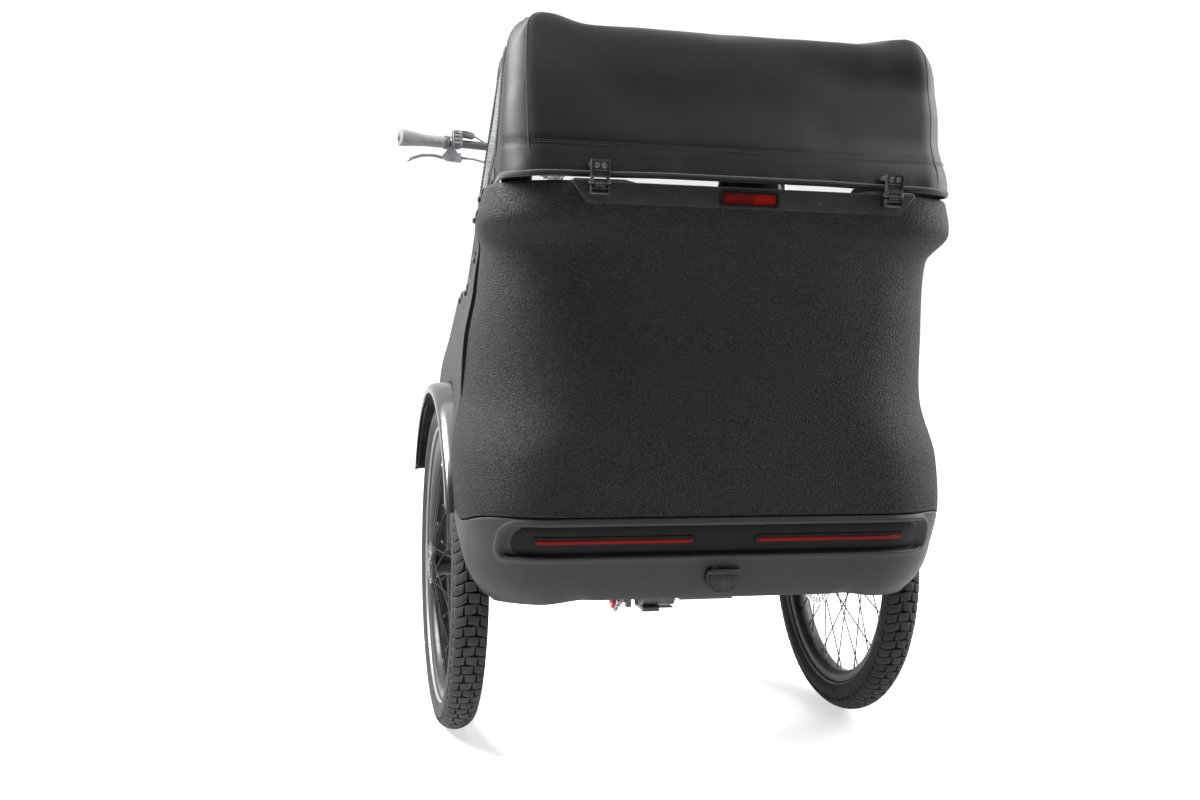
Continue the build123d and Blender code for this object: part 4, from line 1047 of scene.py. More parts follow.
# rolled hem round the lower edge
hem = loop[:, 0].copy()
hem[:, 2] += 3.0
nh = len(hem)
ring = []
for k in range(nh):
    t3 = unit(hem[(k + 1) % nh] - hem[k - 1])
    o = unit(np.cross(t3, (0, 0, 1)))
    c3 = np.array((hem[k][0], hem[k][1], 0)) - np.array((0, -60, 0))
    o = o if o @ c3 > 0 else -o
    ring.append([hem[k] + o * (3.2 * math.cos(q) - 1.2) + np.array((0, 0, 1)) * 5.2 * math.sin(q)
                 for q in np.linspace(0, 2 * math.pi, 10, endpoint=False)])
trim.grid(ring, cu=True, cv=True)
trim_ob = trim.make("canopy_binding", TAPE, "canopy", slot="canopy_cloth", angle=60)

stitch = Shape()


def stitches(shape, path, out_of, step=7.0, length=4.6, r=0.75):
    path = np.asarray(path, float)
    sl = np.concatenate([[0], np.cumsum(np.linalg.norm(np.diff(path, axis=0), axis=1))])
    for a in np.arange(0, sl[-1] - length, step):
        e = [np.array([np.interp(q, sl, path[:, k]) for k in range(3)]) for q in (a, a + length / 2, a + length)]
        o = out_of(e[1])
        shape.tube([e[0] + o * 0.1, e[1] + o * 0.9, e[2] + o * 0.1], [0.4, r, 0.4], 6)


def outward(p):
    return unit(np.array((p[0] * 0.9, p[1] + 60, 0)))


for sg in (-1, 1):
    o = offset_outline(win, 3)
    stitches(stitch, [can_side(y, z, 2.3) * (sg, 1, 1) for y, z in np.vstack([o, o[:1]])], lambda p: np.array((sg, 0, 0)))
for height in (1067.5, 1071.0):
    line = np.array([(*can_xy(i, height), height) for i in range(0, LEAD + TURN)])
    both = np.vstack([(line * (-1, 1, 1))[:0:-1], line])
    stitches(stitch, [p + outward(p) * 0.2 for p in both], outward, step=6.0, length=4.2, r=0.45)
for sg in (-1, 1):
    line = [np.array(can_side(y, float(sill(y)) + 22, 0.6)) * (sg, 1, 1) for y in np.linspace(-380, 330, 120)]
    stitches(stitch, line, lambda p: np.array((sg, 0, 0)), step=7.0)
stitch_ob = stitch.make("canopy_stitching", THREAD, "canopy", slot="canopy_cloth", angle=60)

# felled seams down both rear folds and along both roof edges
seam = Shape()
for sg in (-1, 1):
    fold = [np.array(p) for p in cols[LEAD + 4][1:54]]
    seam.tube([p * (sg, 1, 1) + outward(p * (sg, 1, 1)) * 0.1 for p in fold], 0.9, 8)
    fold2 = [np.array(w[50]) for w in cols[LEAD + 6:LEAD + TURN + 66]]
    seam.tube([p * (sg, 1, 1) + np.array((sg * 0.1, 0, 0.2)) for p in fold2], 1.0, 8)
seam_ob = seam.make("canopy_seams", TAPE, "canopy", slot="canopy_cloth", angle=60)
for ob in (trim_ob, stitch_ob, seam_ob):
    sway(ob)

# ---------------------------------------------------------------------- wheels
def crown(x):
    return 278.25 + np.sqrt(np.maximum(36.25 ** 2 - np.asarray(x, float) ** 2, 1.0))


def tyre_piece(name, xc, yc, body, node):
    s = Shape()
    half = []
    for a in np.linspace(-60, 62, 14):   # sidewall bulge
        half.append((10.5 + 22.5 * math.cos(rad(a)) ** 0.9, 281 + 22 * math.sin(rad(a))))
    prof = [(16.5, 247)] + [(18.5, 257)] + half
    prof += [(x, float(crown(x)) - 4.6) for x in np.linspace(20, 0, 8)]
    full = prof + [(-x, r) for x, r in prof[-2::-1]]
    s.lathe(full, (xc, yc, WHEEL_R), n=128, closed=True)
    # the floor between the tread blocks takes the near-black gap finish: painted shade in the grooves
    bed = [(x, float(crown(x)) - 4.2) for x in np.linspace(-30.0, 30.0, 21)]
    s.lathe(bed + [(x * 0.96, r - 2.0) for x, r in bed[::-1]], (xc, yc, WHEEL_R), n=128, closed=True, mat=2)
    for sg in (-1, 1):   # fine bead rings and the pale line on the sidewall
        for rr, wid in ((273.5, 0.6), (291.0, 0.6), (299.0, 0.7)):
            q = math.asin((rr - 281) / 22)
            xs = 10.5 + 22.5 * math.cos(q) ** 0.9
            s.lathe([(sg * (xs - 0.6), rr - wid), (sg * (xs + 0.7), rr), (sg * (xs - 0.6), rr + wid)],
                    (xc, yc, WHEEL_R), n=96, closed=True)
        band = []
        for rr in np.linspace(261.2, 264.6, 4):
            q = math.asin((rr - 281) / 22)
            band.append((sg * (10.5 + 22.5 * math.cos(q) ** 0.9 + 0.25), rr))
        band += [(x - sg * 0.8, r) for x, r in band[::-1]]
        s.lathe(band, (xc, yc, WHEEL_R), n=128, closed=True, mat=1)
    count = 100
    pitch = 2 * math.pi / count

    def lug(cs, depth=4.9):
        """cs: four corners as x and angle share of a pitch; a block with sloping walls."""
        cs = np.array(cs, float)
        grid = []
        us = [-0.05, 0.0, 0.07, 0.5, 0.93, 1.0, 1.05]
        for i, u in enumerate(us):
            row = []
            for j, v in enumerate(us):
                p = ((1 - u) * (1 - v) * cs[0] + u * (1 - v) * cs[1] + u * v * cs[2] + (1 - u) * v * cs[3])
                edge = i in (0, 6) or j in (0, 6)
                lipe = i in (1, 5) or j in (1, 5)
                r = float(crown(p[0])) - (depth if edge else 0.45 if lipe else 0.0)
                row.append((xc + p[0], yc + r * math.cos(p[1] * pitch), WHEEL_R + r * math.sin(p[1] * pitch)))
            grid.append(row)
        s.grid(grid)

    def arch(x):
        return 0.62 * max(0.0, abs(x) - 8.0) / 22.0

    for k in range(count):
        h = 0.42
        if k % 2:
            cuts = (-30.6, -14.0, 8.0, 30.6)
        else:
            cuts = (-30.6, -8.0, 14.0, 30.6)
        for x0, x1 in zip(cuts[:-1], cuts[1:]):
            a0, a1 = x0 + 0.8, x1 - 0.8
            tilt = 0.03 * (1 if k % 4 < 2 else -1)
            lug([(a0, k + arch(a0) - h - tilt), (a1, k + arch(a1) - h + tilt), (a1 - 1.6, k + arch(a1) + h + tilt),
                 (a0 + 1.6, k + arch(a0) + h - tilt)], 4.4 if abs(x0 + x1) > 38 else 4.9)
    return s.make(name, [RUBBER, STRIPE, GAP_SHADE], body, [node], "tyre", angle=32)


def spoke_wheel(name, xc, yc, body, node, flanges, hub, bolts):
    """flanges: x and radius of both spoke flanges; hub: lathe outline x, r."""
    s = Shape()
    rim = [(20, 258), (18.6, 259.2), (17.2, 258), (16.2, 248), (13, 245.5), (6, 243.5), (-6, 243.5), (-13, 245.5),
           (-16.2, 248), (-17.2, 258), (-18.6, 259.2), (-20, 258), (-20, 250), (-18.6, 245), (-13, 239), (-7, 236.6),
           (7, 236.6), (13, 239), (18.6, 245), (20, 250)]
    s.lathe(rim, (xc, yc, WHEEL_R), n=144, closed=True)
    s.lathe(hub, (0, yc, WHEEL_R), n=64)
    for index, (fx, fr) in enumerate(flanges):
        out = 1 if fx > xc else -1
        for k in range(18):
            a = rad((k + 0.5 * index) * 20)
            lead = 1 if k % 2 else -1
            b2 = a + lead * rad(52)
            p = np.array((fx + (1.6 if k % 4 < 2 else -1.6), yc + (fr - 4) * math.cos(b2), WHEEL_R + (fr - 4) * math.sin(b2)))
            q = np.array((xc + out * 4, yc + 237.5 * math.cos(a), WHEEL_R + 237.5 * math.sin(a)))
            d = unit(q - p)
            s.tube([p, p + (q - p) * 0.5, q - d * 12], 1.3, 8, mat=1)
            s.tube([q - d * 15, q - d * 12, q - d * 2, q + d * 1.5], [1.3, 2.0, 2.0, 3.0], 8, mat=2)
            s.lathe([(-0.2, 2.4), (1.8, 1.6)], p + np.array((np.sign(p[0] - fx) * 0.6, 0, 0)),
                    d=(np.sign(p[0] - fx), 0, 0), n=8, mat=1)
    for x, r, n, size, way in bolts:
        for k in range(n):
            a = rad(k * 360 / n + 10)
            s.lathe([(0, size), (1.4, size), (1.8, size * 0.75), (1.8, size * 0.45), (0.9, size * 0.4)],
                    (x, yc + r * math.cos(a), WHEEL_R + r * math.sin(a)), d=(way, 0, 0), n=12, mat=2)
    a = rad(97)
    p = np.array((xc, yc + 238 * math.cos(a), WHEEL_R + 238 * math.sin(a)))
    d = np.array((0, -math.cos(a), -math.sin(a)))
    s.tube([p, p + d * 26, p + d * 27, p + d * 38], [3.0, 3.0, 4.2, 3.6], 10, mat=2)
    return s.make(name, [RIM, SPOKE, GREY_METAL], body, [node], "black_metal", angle=40)


def brake_disc(name, x0, x1, yc, body, node, centre_r, way):
    s = Shape()
    n = 144
    for k in range(12):   # swept arms from the carrier to the ring
        a = rad(k * 30)
        arm = [(22, a), (30, a + 0.03), (60, a + 0.16), (84, a + 0.30)]
        w = [0.16, 0.11, 0.055, 0.05]
        poly = [(r * math.cos(q + ww), r * math.sin(q + ww)) for (r, q), ww in zip(arm, w)]
        poly += [(r * math.cos(q - ww), r * math.sin(q - ww)) for (r, q), ww in zip(arm[::-1], w[::-1])]
        s.prism(poly, lambda p, q, c: (x0 + 0.4 + c, yc + p, WHEEL_R + q), abs(x1 - x0) - 0.8, 0.3, 1, mat=1)
    lo, hi = min(x0, x1), max(x0, x1)
    s.lathe([(lo, centre_r), (lo, 25), (hi, 25), (hi, centre_r)], (0, yc, WHEEL_R), n=64, closed=True, mat=1)
    # the ring is built of sectors so that it carries rows of slots
    sect = 36
    for k in range(sect):
        a0 = k * 2 * math.pi / sect
        da = 2 * math.pi / sect
        for r0, r1, f0, f1 in ((83.5, 87.5, 0, 1), (98.0, 101.5, 0, 1), (87.5, 91.2, 0, 0.62), (91.2, 94.6, 0.30, 0.95),
                               (94.6, 98.0, 0, 0.60)):
            rows = []
            for f in np.linspace(f0, f1, 4):
                q = a0 + f * da
                rows.append([(x, yc + r * math.cos(q), WHEEL_R + r * math.sin(q))
                             for x, r in ((lo, r0), (hi, r0), (hi, r1), (lo, r1))])
            s.grid(rows, cv=True, cap_u=True)
    for k in range(6):
        a = rad(k * 60 + 15)
        s.lathe([(0, 3.6), (1.0, 3.6), (1.6, 2.6)], (hi if way > 0 else lo, yc + 19.5 * math.cos(a), WHEEL_R + 19.5 * math.sin(a)),
                d=(way, 0, 0), n=10)
    return s.make(name, [STEEL, COAT], body, [node], "steel", angle=35)


for word, sg in (("left", -1), ("right", 1)):
    tyre_piece(f"tyre_rear_{word}", sg * 404, 0, f"rear_{word}_wheel", f"rear_{word}_tyre")
    hub = [(sg * x, r) for x, r in ((353, 10.5), (353, 26), (360.5, 27), (361, 35), (362, 36), (367, 36), (368, 35),
                                    (369.5, 28), (384, 23), (424, 23), (434, 28), (437.5, 38), (439, 40), (445, 40),
                                    (446.5, 38.5), (446.5, 31), (448.6, 30), (448.6, 21), (447, 20), (447, 13),
                                    (449, 12), (449, 5))]
    spoke_wheel(f"wheel_rear_{word}", sg * 404, 0, f"rear_{word}_wheel", f"rear_{word}_wheel",
                [(sg * 364.5, 36), (sg * 442, 40)], hub, [(sg * 448.4, 25.5, 6, 2.8, sg), (sg * 446.3, 35, 9, 1.8, sg)])
    brake_disc(f"disc_rear_{word}", sg * 349, sg * 352, 0, f"rear_{word}_wheel", f"rear_{word}_disc", 15, -sg)
tyre_piece("tyre_front", 0, 1500, "front_wheel", "front_tyre")
spoke_wheel("wheel_front", 0, 1500, "front_wheel", "front_wheel", [(-30.5, 29), (30.5, 29)],
            [(-44, 8), (-44, 14), (-40, 16), (-34, 17), (-33, 28), (-32, 29), (-29, 29), (-28, 28), (-26, 19),
             (-18, 15.5), (18, 15.5), (26, 19), (28, 28), (29, 29), (32, 29), (33, 28), (34, 17), (42, 16), (46, 14),
             (46, 8)], [])
brake_disc("disc_front", -47, -44.2, 1500, "front_wheel", "front_disc", 12, -1)

# ------------------------------------------------------------ rear rim fittings
def screw(s, at, d, r=4.4, h=2.4, mat=0):
    """Cap screw with a hex socket."""
    s.lathe([(-0.5, r), (h - 0.6, r), (h, r - 0.6), (h, r * 0.52), (h - 1.6, r * 0.46)], at, d=d, n=18, mat=mat)


def ring_of(s, outer, inner, place, low, high, step, mat=0):
    """A frame between two outlines with the same number of points, from depth low to high, its inside step lower."""
    rows = [[place(a, b, low) for a, b in outer], [place(a, b, high - 0.8) for a, b in outer],
            [place(a * 0.995, b, high) for a, b in outer], [place(a, b, high) for a, b in inner],
            [place(a, b, step) for a, b in inner]]
    s.grid(rows, cv=True, mat=mat)


s = Shape()
poly = rounded([(-263, 973.5), (263, 973.5), (292, 1011), (203, 1011), (184, 1006.5), (-184, 1006.5), (-203, 1011),
                (-292, 1011)], [10, 10, 5, 6, 9, 9, 6, 5], 6)
s.prism(poly, lambda a, b, c: (a, -498 - c, b), 17, 2.4, 3)
for x in (-120, 120):
    s.lathe([(0, 3.2), (0.6, 3.2), (0.9, 2.6), (0.2, 1.4)], (x, -514.9, 988), d=(0, -1, 0), n=14)
s.make("rim_trim", TRIM, "rear_chassis", ["rim_rail"], "black_plastic", angle=35)

s = Shape()
outer = rounded([(-49, 977), (49, 977), (49, 1000), (-49, 1000)], [4] * 4, 6)
inner = rounded([(-45, 980), (45, 980), (45, 997), (-45, 997)], [2.5] * 4, 6)
ring_of(s, outer, inner, lambda a, b, c: (a, -c, b), 513, 520.6, 517.0)
for x0, x1, mat in ((-45, 8, 1), (8.6, 45, 2)):
    nx = int(round((x1 - x0) / 3.3))
    for i in range(nx):
        for j in range(5):
            ax, bx = x0 + (x1 - x0) * i / nx, x0 + (x1 - x0) * (i + 1) / nx
            az, bz = 980 + 17 * j / 5, 980 + 17 * (j + 1) / 5
            s.add([(ax, -517.6, az), (bx, -517.6, az), (bx, -517.6, bz), (ax, -517.6, bz),
                   ((ax + bx) / 2, -518.9, (az + bz) / 2)], [(0, 1, 4), (1, 2, 4), (2, 3, 4), (3, 0, 4)], mat)
s.make("reflector_lens", [PANEL, REFLEX_DARK, REFLEX], "rear_chassis", ["rear_reflector"], "red_lens", angle=25)

up, low = Shape(), Shape()
for xc in (-245.5, 245.5):
    strap = [(-519.4, 1038.6), (-524.6, 1038.6), (-524.8, 1021), (-526.4, 1015), (-526.2, 1012.2), (-524.6, 1011.2),
             (-521.0, 1011.6), (-519.6, 1016)]
    up.prism(strap, lambda a, b, c: (xc - 13.4 + c, a, b), 26.8, 0.5, 1)
    ear = [(-520.2, 1014), (-525.4, 1014), (-524.9, 1008.5), (-524.4, 1005.5), (-522.8, 1005.5), (-522.2, 1007.6),
           (-520.2, 1008.4)]
    for x0 in (xc - 14.9, xc + 10.0):
        up.prism(ear, lambda a, b, c: (x0 + c, a, b), 4.9, 0.4, 1)
        up.lathe([(0, 2.4), (0, 4.3), (0.3, 4.6), (4.6, 4.6), (4.9, 4.3), (4.9, 2.4)], (x0, -520, 1005), n=24, closed=True)
    for sg in (-1, 1):
        up.box((xc + sg * 14.0 - 1.1, -528.0, 1013), (xc + sg * 14.0 + 1.1, -519.6, 1039), 0.7, 2)
    up.box((xc - 13.2, -526.2, 1036.2), (xc + 13.2, -519.6, 1039), 0.9, 2)
    up.box((xc - 13, -520, 1029), (xc + 13, -441, 1037), 1.6, 2)
    for dx in (-6.2, 6.2):
        screw(up, (xc + dx, -524.7, 1030.2), (0, -1, 0), 4.2, 2.4, mat=1)
    up.box((xc - 11.5, -525.4, 1021.6), (xc + 11.5, -524.2, 1023.8), 0.5, 1)
    steps = [(-515, 986), (-523.6, 986), (-524.6, 987.4), (-524.6, 989.2), (-521.2, 990.2), (-521.2, 992.4), (-524.6, 993.4),
             (-524.6, 995.8), (-521.2, 996.8), (-520.6, 998.2), (-515, 998.4)]
    low.prism(steps, lambda a, b, c: (xc - 13.2 + c, a, b), 26.4, 0.4, 1)
    for sg in (-1, 1):
        low.box((xc + sg * 14.0 - 1.2, -526.0, 985.2), (xc + sg * 14.0 + 1.2, -514.8, 999), 0.7, 2)
    low.lathe([(-8.8, 1.9), (-8.8, 4.1), (-8.4, 4.4), (8.4, 4.4), (8.8, 4.1), (8.8, 1.9)], (xc, -520, 1005), n=24)
    low.box((xc - 8.6, -523.2, 997), (xc + 8.6, -516.6, 1004), 1.0, 2)
    low.lathe([(-17.0, 0.8), (-17.0, 2.9), (-16.0, 3.1), (-15.8, 2.0), (15.8, 2.0), (16.0, 3.1), (17.0, 2.9), (17.0, 0.8)],
              (xc, -520, 1005), n=18, mat=1)
up.make("hinge_straps", [CLIP, GREY_METAL], "canopy", ["hinge_plates"], "black_metal", angle=30)
low.make("hinge_feet", [CLIP, GREY_METAL], "rear_chassis", ["hinge_brackets"], "black_metal", angle=30)

s = Shape()
s.prism(rounded([(-18, 341), (18, 341), (30, 362), (30, 377), (-30, 377), (-30, 362)], [8, 8, 8, 5, 5, 8], 7),
        lambda a, b, c: (a, -430 - c - 0.06 * (b - 341), b), 11, 2.6, 4)
s.prism(rounded([(-14, 345), (14, 345), (24, 362), (24, 371), (-24, 371), (-24, 362)], [6, 6, 6, 3, 3, 6], 7),
        lambda a, b, c: (a, -438.6 - c - 0.06 * (b - 341), b), 4.0, 1.2, 3)
s.prism(rounded([(-29, 372), (29, 372), (29, 380), (-29, 380)], [3] * 4, 6), lambda a, b, c: (a, -434 - c, b), 12.5, 2.4, 3)
for sg in (-1, 1):
    s.lathe([(-5, 0.8), (-5, 2.6), (5, 2.6), (5, 0.8)], (sg * 15, -438.5, 381.0), n=14)
s.make("socket_lid", TRIM, "rear_chassis", ["socket_cover"], "black_plastic", angle=40)

# small hooks on the sill with elastic loops from the canopy hem
hooks, loops = Shape(), Shape()
for sg in (-1, 1):
    for y in (-292, -205, -95, 40, 205):
        zt = float(sill(y))
        z = zt - 17
        x = x_side(y, z, 0)
        hooks.box((-1.2, -8, -9), (2.4, 8, 9), 1.4, 2,
                  turn=Matrix.Translation((sg * (x + 0.4), y, z)) @ Matrix.Rotation(0.05 * sg, 4, "Z"))
        hooks.lathe([(-1, 3.2), (2.6, 3.0), (3.0, 5.0), (4.2, 5.4), (5.2, 4.2), (5.4, 1.0)], (sg * (x + 1), y, z), d=(sg, 0, 0), n=20)
        xo = can_side(y, zt + 16)[0]
        pts = []
        for q in np.linspace(0, 2 * math.pi, 27)[:-1]:
            v = (math.cos(q) + 1) / 2     # 1 at the hem, 0 under the hook
            zz = z - 5.2 + v * (zt + 17 - z + 5.2)
            xx = (x + 2.4) * (1 - v) + (xo + 1.4) * v
            pts.append((sg * max(xx, x_side(y, min(zz, zt - 1), 0) + 1.6 if zz < zt else xo + 1.4), y + 4.4 * math.sin(q) * (0.65 + 0.35 * (1 - v)), zz))
        p = np.array(pts)
        rows = []
        for k in range(len(p)):
            t3 = unit(p[(k + 1) % len(p)] - p[k - 1])
            u = unit(np.cross(t3, (sg, 0, 0)))
            w3 = np.cross(t3, u)
            rows.append([p[k] + 1.5 * (math.cos(a) * u + math.sin(a) * w3) for a in np.linspace(0, 2 * math.pi, 7)[:-1]])
        loops.grid(rows, cu=True, cv=True)
        loops.box((-1.4, -9, -11), (1.4, 9, 11), 1.0, 2, turn=Matrix.Translation((sg * (can_side(y, zt + 24)[0] + 1.6), y, zt + 24)))
hooks.make("sill_hooks", BLACK, "rear_chassis", slot="black_plastic", angle=40)
loops.make("hem_loops", TAPE, "canopy", slot="canopy_cloth", angle=60)

# ---------------------------------------------------------- drive under the box
def hull_path(circles, n):
    pts = np.vstack([np.array(c[:2]) + c[2] * np.stack([np.cos(a), np.sin(a)], 1)
                     for c in circles for a in [np.linspace(0, 2 * math.pi, 180, endpoint=False)]])
    pts = pts[np.lexsort((pts[:, 1], pts[:, 0]))]

    def chain_of(p):
        h = []
        for q in p:
            while len(h) > 1 and (h[-1][0] - h[-2][0]) * (q[1] - h[-2][1]) - (h[-1][1] - h[-2][1]) * (q[0] - h[-2][0]) <= 0:
                h.pop()
            h.append(q)
        return h[:-1]
    hull = np.array(chain_of(list(pts)) + chain_of(list(pts[::-1])))
    return spread_along(np.vstack([hull, hull[:1]]), n + 1)[:-1]


def gear(s, c, x0, x1, teeth, r, bore, mat=0, tall=4.0):
    out = []
    for k in range(teeth):
        for f, dr in ((0.0, -tall), (0.30, -tall), (0.42, 0.0), (0.58, 0.0), (0.70, -tall)):
            a = 2 * math.pi * (k + f) / teeth
            out.append(((r + dr) * math.cos(a), (r + dr) * math.sin(a)))
    a = np.linspace(0, 2 * math.pi, len(out), endpoint=False)
    inn = np.stack([bore * np.cos(a), bore * np.sin(a)], 1)
    place = lambda p, q, x: (x, c[0] + p, c[1] + q)
    s.grid([[place(p, q, x0) for p, q in inn], [place(p, q, x0) for p, q in out], [place(p, q, x1) for p, q in out],
            [place(p, q, x1) for p, q in inn]], cu=True, cv=True, mat=mat)


CIRCLES = [(0, WHEEL_R, 48.2), (318, 330, 29.2), (60, 217, 20.2)]


def chain_x(y, z):
    return -45.5 - 20.0 * math.exp(-((y - 60) ** 2 + (z - 217) ** 2) / 55.0 ** 2)


path = hull_path(CIRCLES, 68)
s = Shape()
for k in range(68):
    a, b2 = path[k], path[(k + 1) % 68]
    t2 = unit(b2 - a)
    nrm = np.array((-t2[1], t2[0]))
    size = np.linalg.norm(b2 - a)
    xm = chain_x(*((a + b2) / 2))
    wide = 3.9 if k % 2 else 2.7
    plate = []
    for q in np.linspace(-90, 90, 7):
        plate.append((size + 4.2 * math.cos(rad(q)), 4.2 * math.sin(rad(q))))
    plate.append((size / 2, 2.7))
    for q in np.linspace(90, 270, 7):
        plate.append((4.2 * math.cos(rad(q)), 4.2 * math.sin(rad(q))))
    plate.append((size / 2, -2.7))
    for sgn in (-1, 1):
        s.prism(plate, lambda p, q, c: (xm + sgn * wide + c - 0.5, a[0] + t2[0] * p + nrm[0] * q, a[1] + t2[1] * p + nrm[1] * q), 1.0)
    s.lathe([(-4.4, 0.6), (-4.4, 1.7), (4.4, 1.7), (4.4, 0.6)], (xm, a[0], a[1]), n=8)
    s.lathe([(-2.1, 1.8), (-2.1, 3.6), (2.1, 3.6), (2.1, 1.8)], (xm, a[0], a[1]), n=10)
s.make("chain_links", STEEL, "rear_chassis", ["rear_chain"], "steel", angle=30)
s = Shape()
gear(s, (0, WHEEL_R), -47, -44, 23, 50.0, 22.6, 0, 5.0)
for k in range(5):
    q = rad(72 * k + 20)
    s.lathe([(0, 4.2), (1.6, 4.2), (2.2, 3.2), (2.2, 1.0)], (-47, 33 * math.cos(q), WHEEL_R + 33 * math.sin(q)), d=(-1, 0, 0), n=12, mat=2)
gear(s, (318, 330), -47, -44, 14, 31.0, 12.0, 0, 5.0)
s.lathe([(-50, 3), (-50, 12), (-49, 13), (-44, 13), (-40.4, 13), (-40.4, 3)], (0, 318, 330), n=32)
gear(s, (60, 217), -67.5, -64.0, 12, 22.0, 6.0, 1, 4.6)
s.lathe([(-70.6, 3), (-70.6, 14.4), (-69.8, 15.6), (-67.6, 15.8), (-67.6, 11.5), (-69.0, 10.6), (-69.0, 3)], (0, 60, 217), n=40, mat=1)
s.lathe([(-63.9, 3), (-63.9, 14.8), (-62.2, 15.0), (-61.6, 13), (-61.6, 3)], (0, 60, 217), n=40, mat=1)
s.lathe([(-72.6, 1), (-72.6, 4.4), (-71.8, 5.0), (-60, 5.0), (-41.2, 5.0), (-41.2, 1)], (0, 60, 217), n=20, mat=2)
s.make("sprockets", [STEEL, RED_METAL, GREY_METAL], "rear_chassis", ["drive_sprockets"], "steel", angle=28)
s = Shape()   # cage of the tensioner, gearbox cover and its bolts
s.prism([(60 + 8 * math.cos(q), 217 + 8 * math.sin(q)) for q in np.linspace(math.pi, 2 * math.pi, 9)]
        + [(60 + 6, 296), (60 - 12, 296)], lambda a, b, c: (-60.6 + c, a, b), 4.0, 0.8, 2)
s.prism(rounded([(-50, 231), (50, 231), (50, 329), (-50, 329)], [26] * 4, 7), lambda a, b, c: (32 + c, a, b), 5, 2.0, 3)
s.prism(rounded([(-44, 215.5), (20, 215.5), (26, 227), (-48, 227)], [4] * 4, 4), lambda a, b, c: (-30 + c, a, b), 34, 1.5, 2)
for k in range(8):
    q = rad(45 * k + 22)
    screw(s, (37, 38 * math.cos(q), 280 + 38 * math.sin(q)), (1, 0, 0), 4.0, 1.8, mat=1)
for y in np.linspace(-42, 42, 6):
    s.box((-26, y - 2.2, 222.6), (32, y + 2.2, 226.4), 0.8, 1)
for sg in (-1, 1):
    for k in range(6):
        q = rad(60 * k)
        screw(s, (sg * 321.8, 35 * math.cos(q), WHEEL_R + 35 * math.sin(q)), (-sg, 0, 0), 4.4, 2.6, mat=1)
    for y in (-20, 20):
        s.lathe([(0, 6.4), (3.6, 6.4), (4.4, 5.4), (4.4, 1.0)], (sg * 190, y, 288.4), d=(0, 0, -1), n=6, mat=1)
    for y in (-340, -120, 150, 360):
        s.lathe([(0, 6.0), (3.2, 6.0), (4.0, 5.0), (4.0, 1.0)], (sg * 190, y, 338.4), d=(0, 0, -1), n=6, mat=1)
s.make("drive_casing", [COAT, STEEL], "rear_chassis", slot="black_metal", angle=35)


def caliper(s, x0, x1, slot0, slot1, y0, y1, z0, z1, yb, way):
    """Two-piece body round a disc; yb: how far the bridge reaches, way: outward side."""
    s.box((x0, y0 + 3, z0), (slot0 - 0.4, y1, z1), 4.0, 3)
    s.box((slot1 + 0.4, y0 + 3, z0), (x1, y1, z1), 4.0, 3)
    s.box((x0 + 1.5, y0, z0 + 5), (x1 - 1.5, yb, z1 - 5), 3.0, 3)
    face = x1 if way > 0 else x0
    s.lathe([(-1, 15), (1.2, 15), (2.0, 14), (2.0, 8), (1.2, 7)], (face, (y0 + y1) / 2 + 5, (z0 + z1) / 2), d=(way, 0, 0), n=28, mat=1)
    for z in (z0 + 7, z1 - 7):
        screw(s, (face, y0 + 10, z), (way, 0, 0), 3.8, 2.2, mat=2)
    s.lathe([(0, 3.0), (5, 3.0), (6, 2.2), (10, 2.2), (10, 0.8)], ((x0 + x1) / 2, (y0 + y1) / 2, z1 - 0.5), d=(0, 0, 1), n=12, mat=2)


s = Shape()
for sg in (-1, 1):
    a, b2 = sorted((sg * 334, sg * 364))
    c0, c1 = sorted((sg * 347.5, sg * 352.5))
    caliper(s, a, b2, c0, c1, -128, -78, 288, 342, -107, -sg)
s.make("caliper_bodies", [COAT, GREY_METAL, STEEL], "rear_chassis", ["brake_calipers"], "black_metal", angle=35)

# ------------------------------------------------------------------- soft goods
def puff(ob, voxel, cap, pinned, pressure=4.0, frames=20):
    """Blow a sewn cover up as cloth between its seams, keeping each point within cap metres of its start."""
    mod = ob.modifiers.new("even", "REMESH")
    mod.mode, mod.voxel_size = "VOXEL", voxel
    apply_modifiers(ob)
    me = ob.data
    start = np.array([v.co for v in me.vertices])
    group = ob.vertex_groups.new(name="seams")
    group.add([i for i, p in enumerate(start) if pinned(p * 1000 - np.array((0, AHEAD, 0)))], 1.0, "REPLACE")
    mod = ob.modifiers.new("cloth", "CLOTH")
    mod.settings.use_pressure = True
    mod.settings.uniform_pressure_force = pressure
    mod.settings.vertex_group_mass = "seams"
    mod.settings.effector_weights.gravity = 0
    mod.settings.quality = 5
    mod.collision_settings.use_collision = False
    mod.collision_settings.use_self_collision = False
    mod.point_cache.frame_start, mod.point_cache.frame_end = 1, frames
    for f in range(1, frames + 1):
        scene.frame_set(f)
    dg = bpy.context.evaluated_depsgraph_get()
    done = ob.evaluated_get(dg).data
    end = np.array([v.co for v in done.vertices])
    ob.modifiers.clear()
    ob.vertex_groups.clear()
    scene.frame_set(1)
    move = end - start
    far = np.maximum(np.linalg.norm(move, axis=1), 1e-9)
    start = start + move * (np.minimum(far, cap) / far)[:, None]
    me.vertices.foreach_set("co", start.astype(np.float32).ravel())
    me.update()
    return ob


def press(ob, depth_of):
    """Sink the cover along its sewn lines; depth_of takes points in mm and gives mm."""
    me = ob.data
    co = np.array([v.co for v in me.vertices])
    n = np.array([v.normal for v in me.vertices])
    co = co - n * (depth_of(co * 1000 - np.array((0, AHEAD, 0))) * 0.001)[:, None]
    me.vertices.foreach_set("co", co.astype(np.float32).ravel())
    me.update()


def soften(ob):
    ob.modifiers.new("soft", "SUBSURF").levels = 1
    apply_modifiers(ob)
    shade(ob, 80)
    return ob


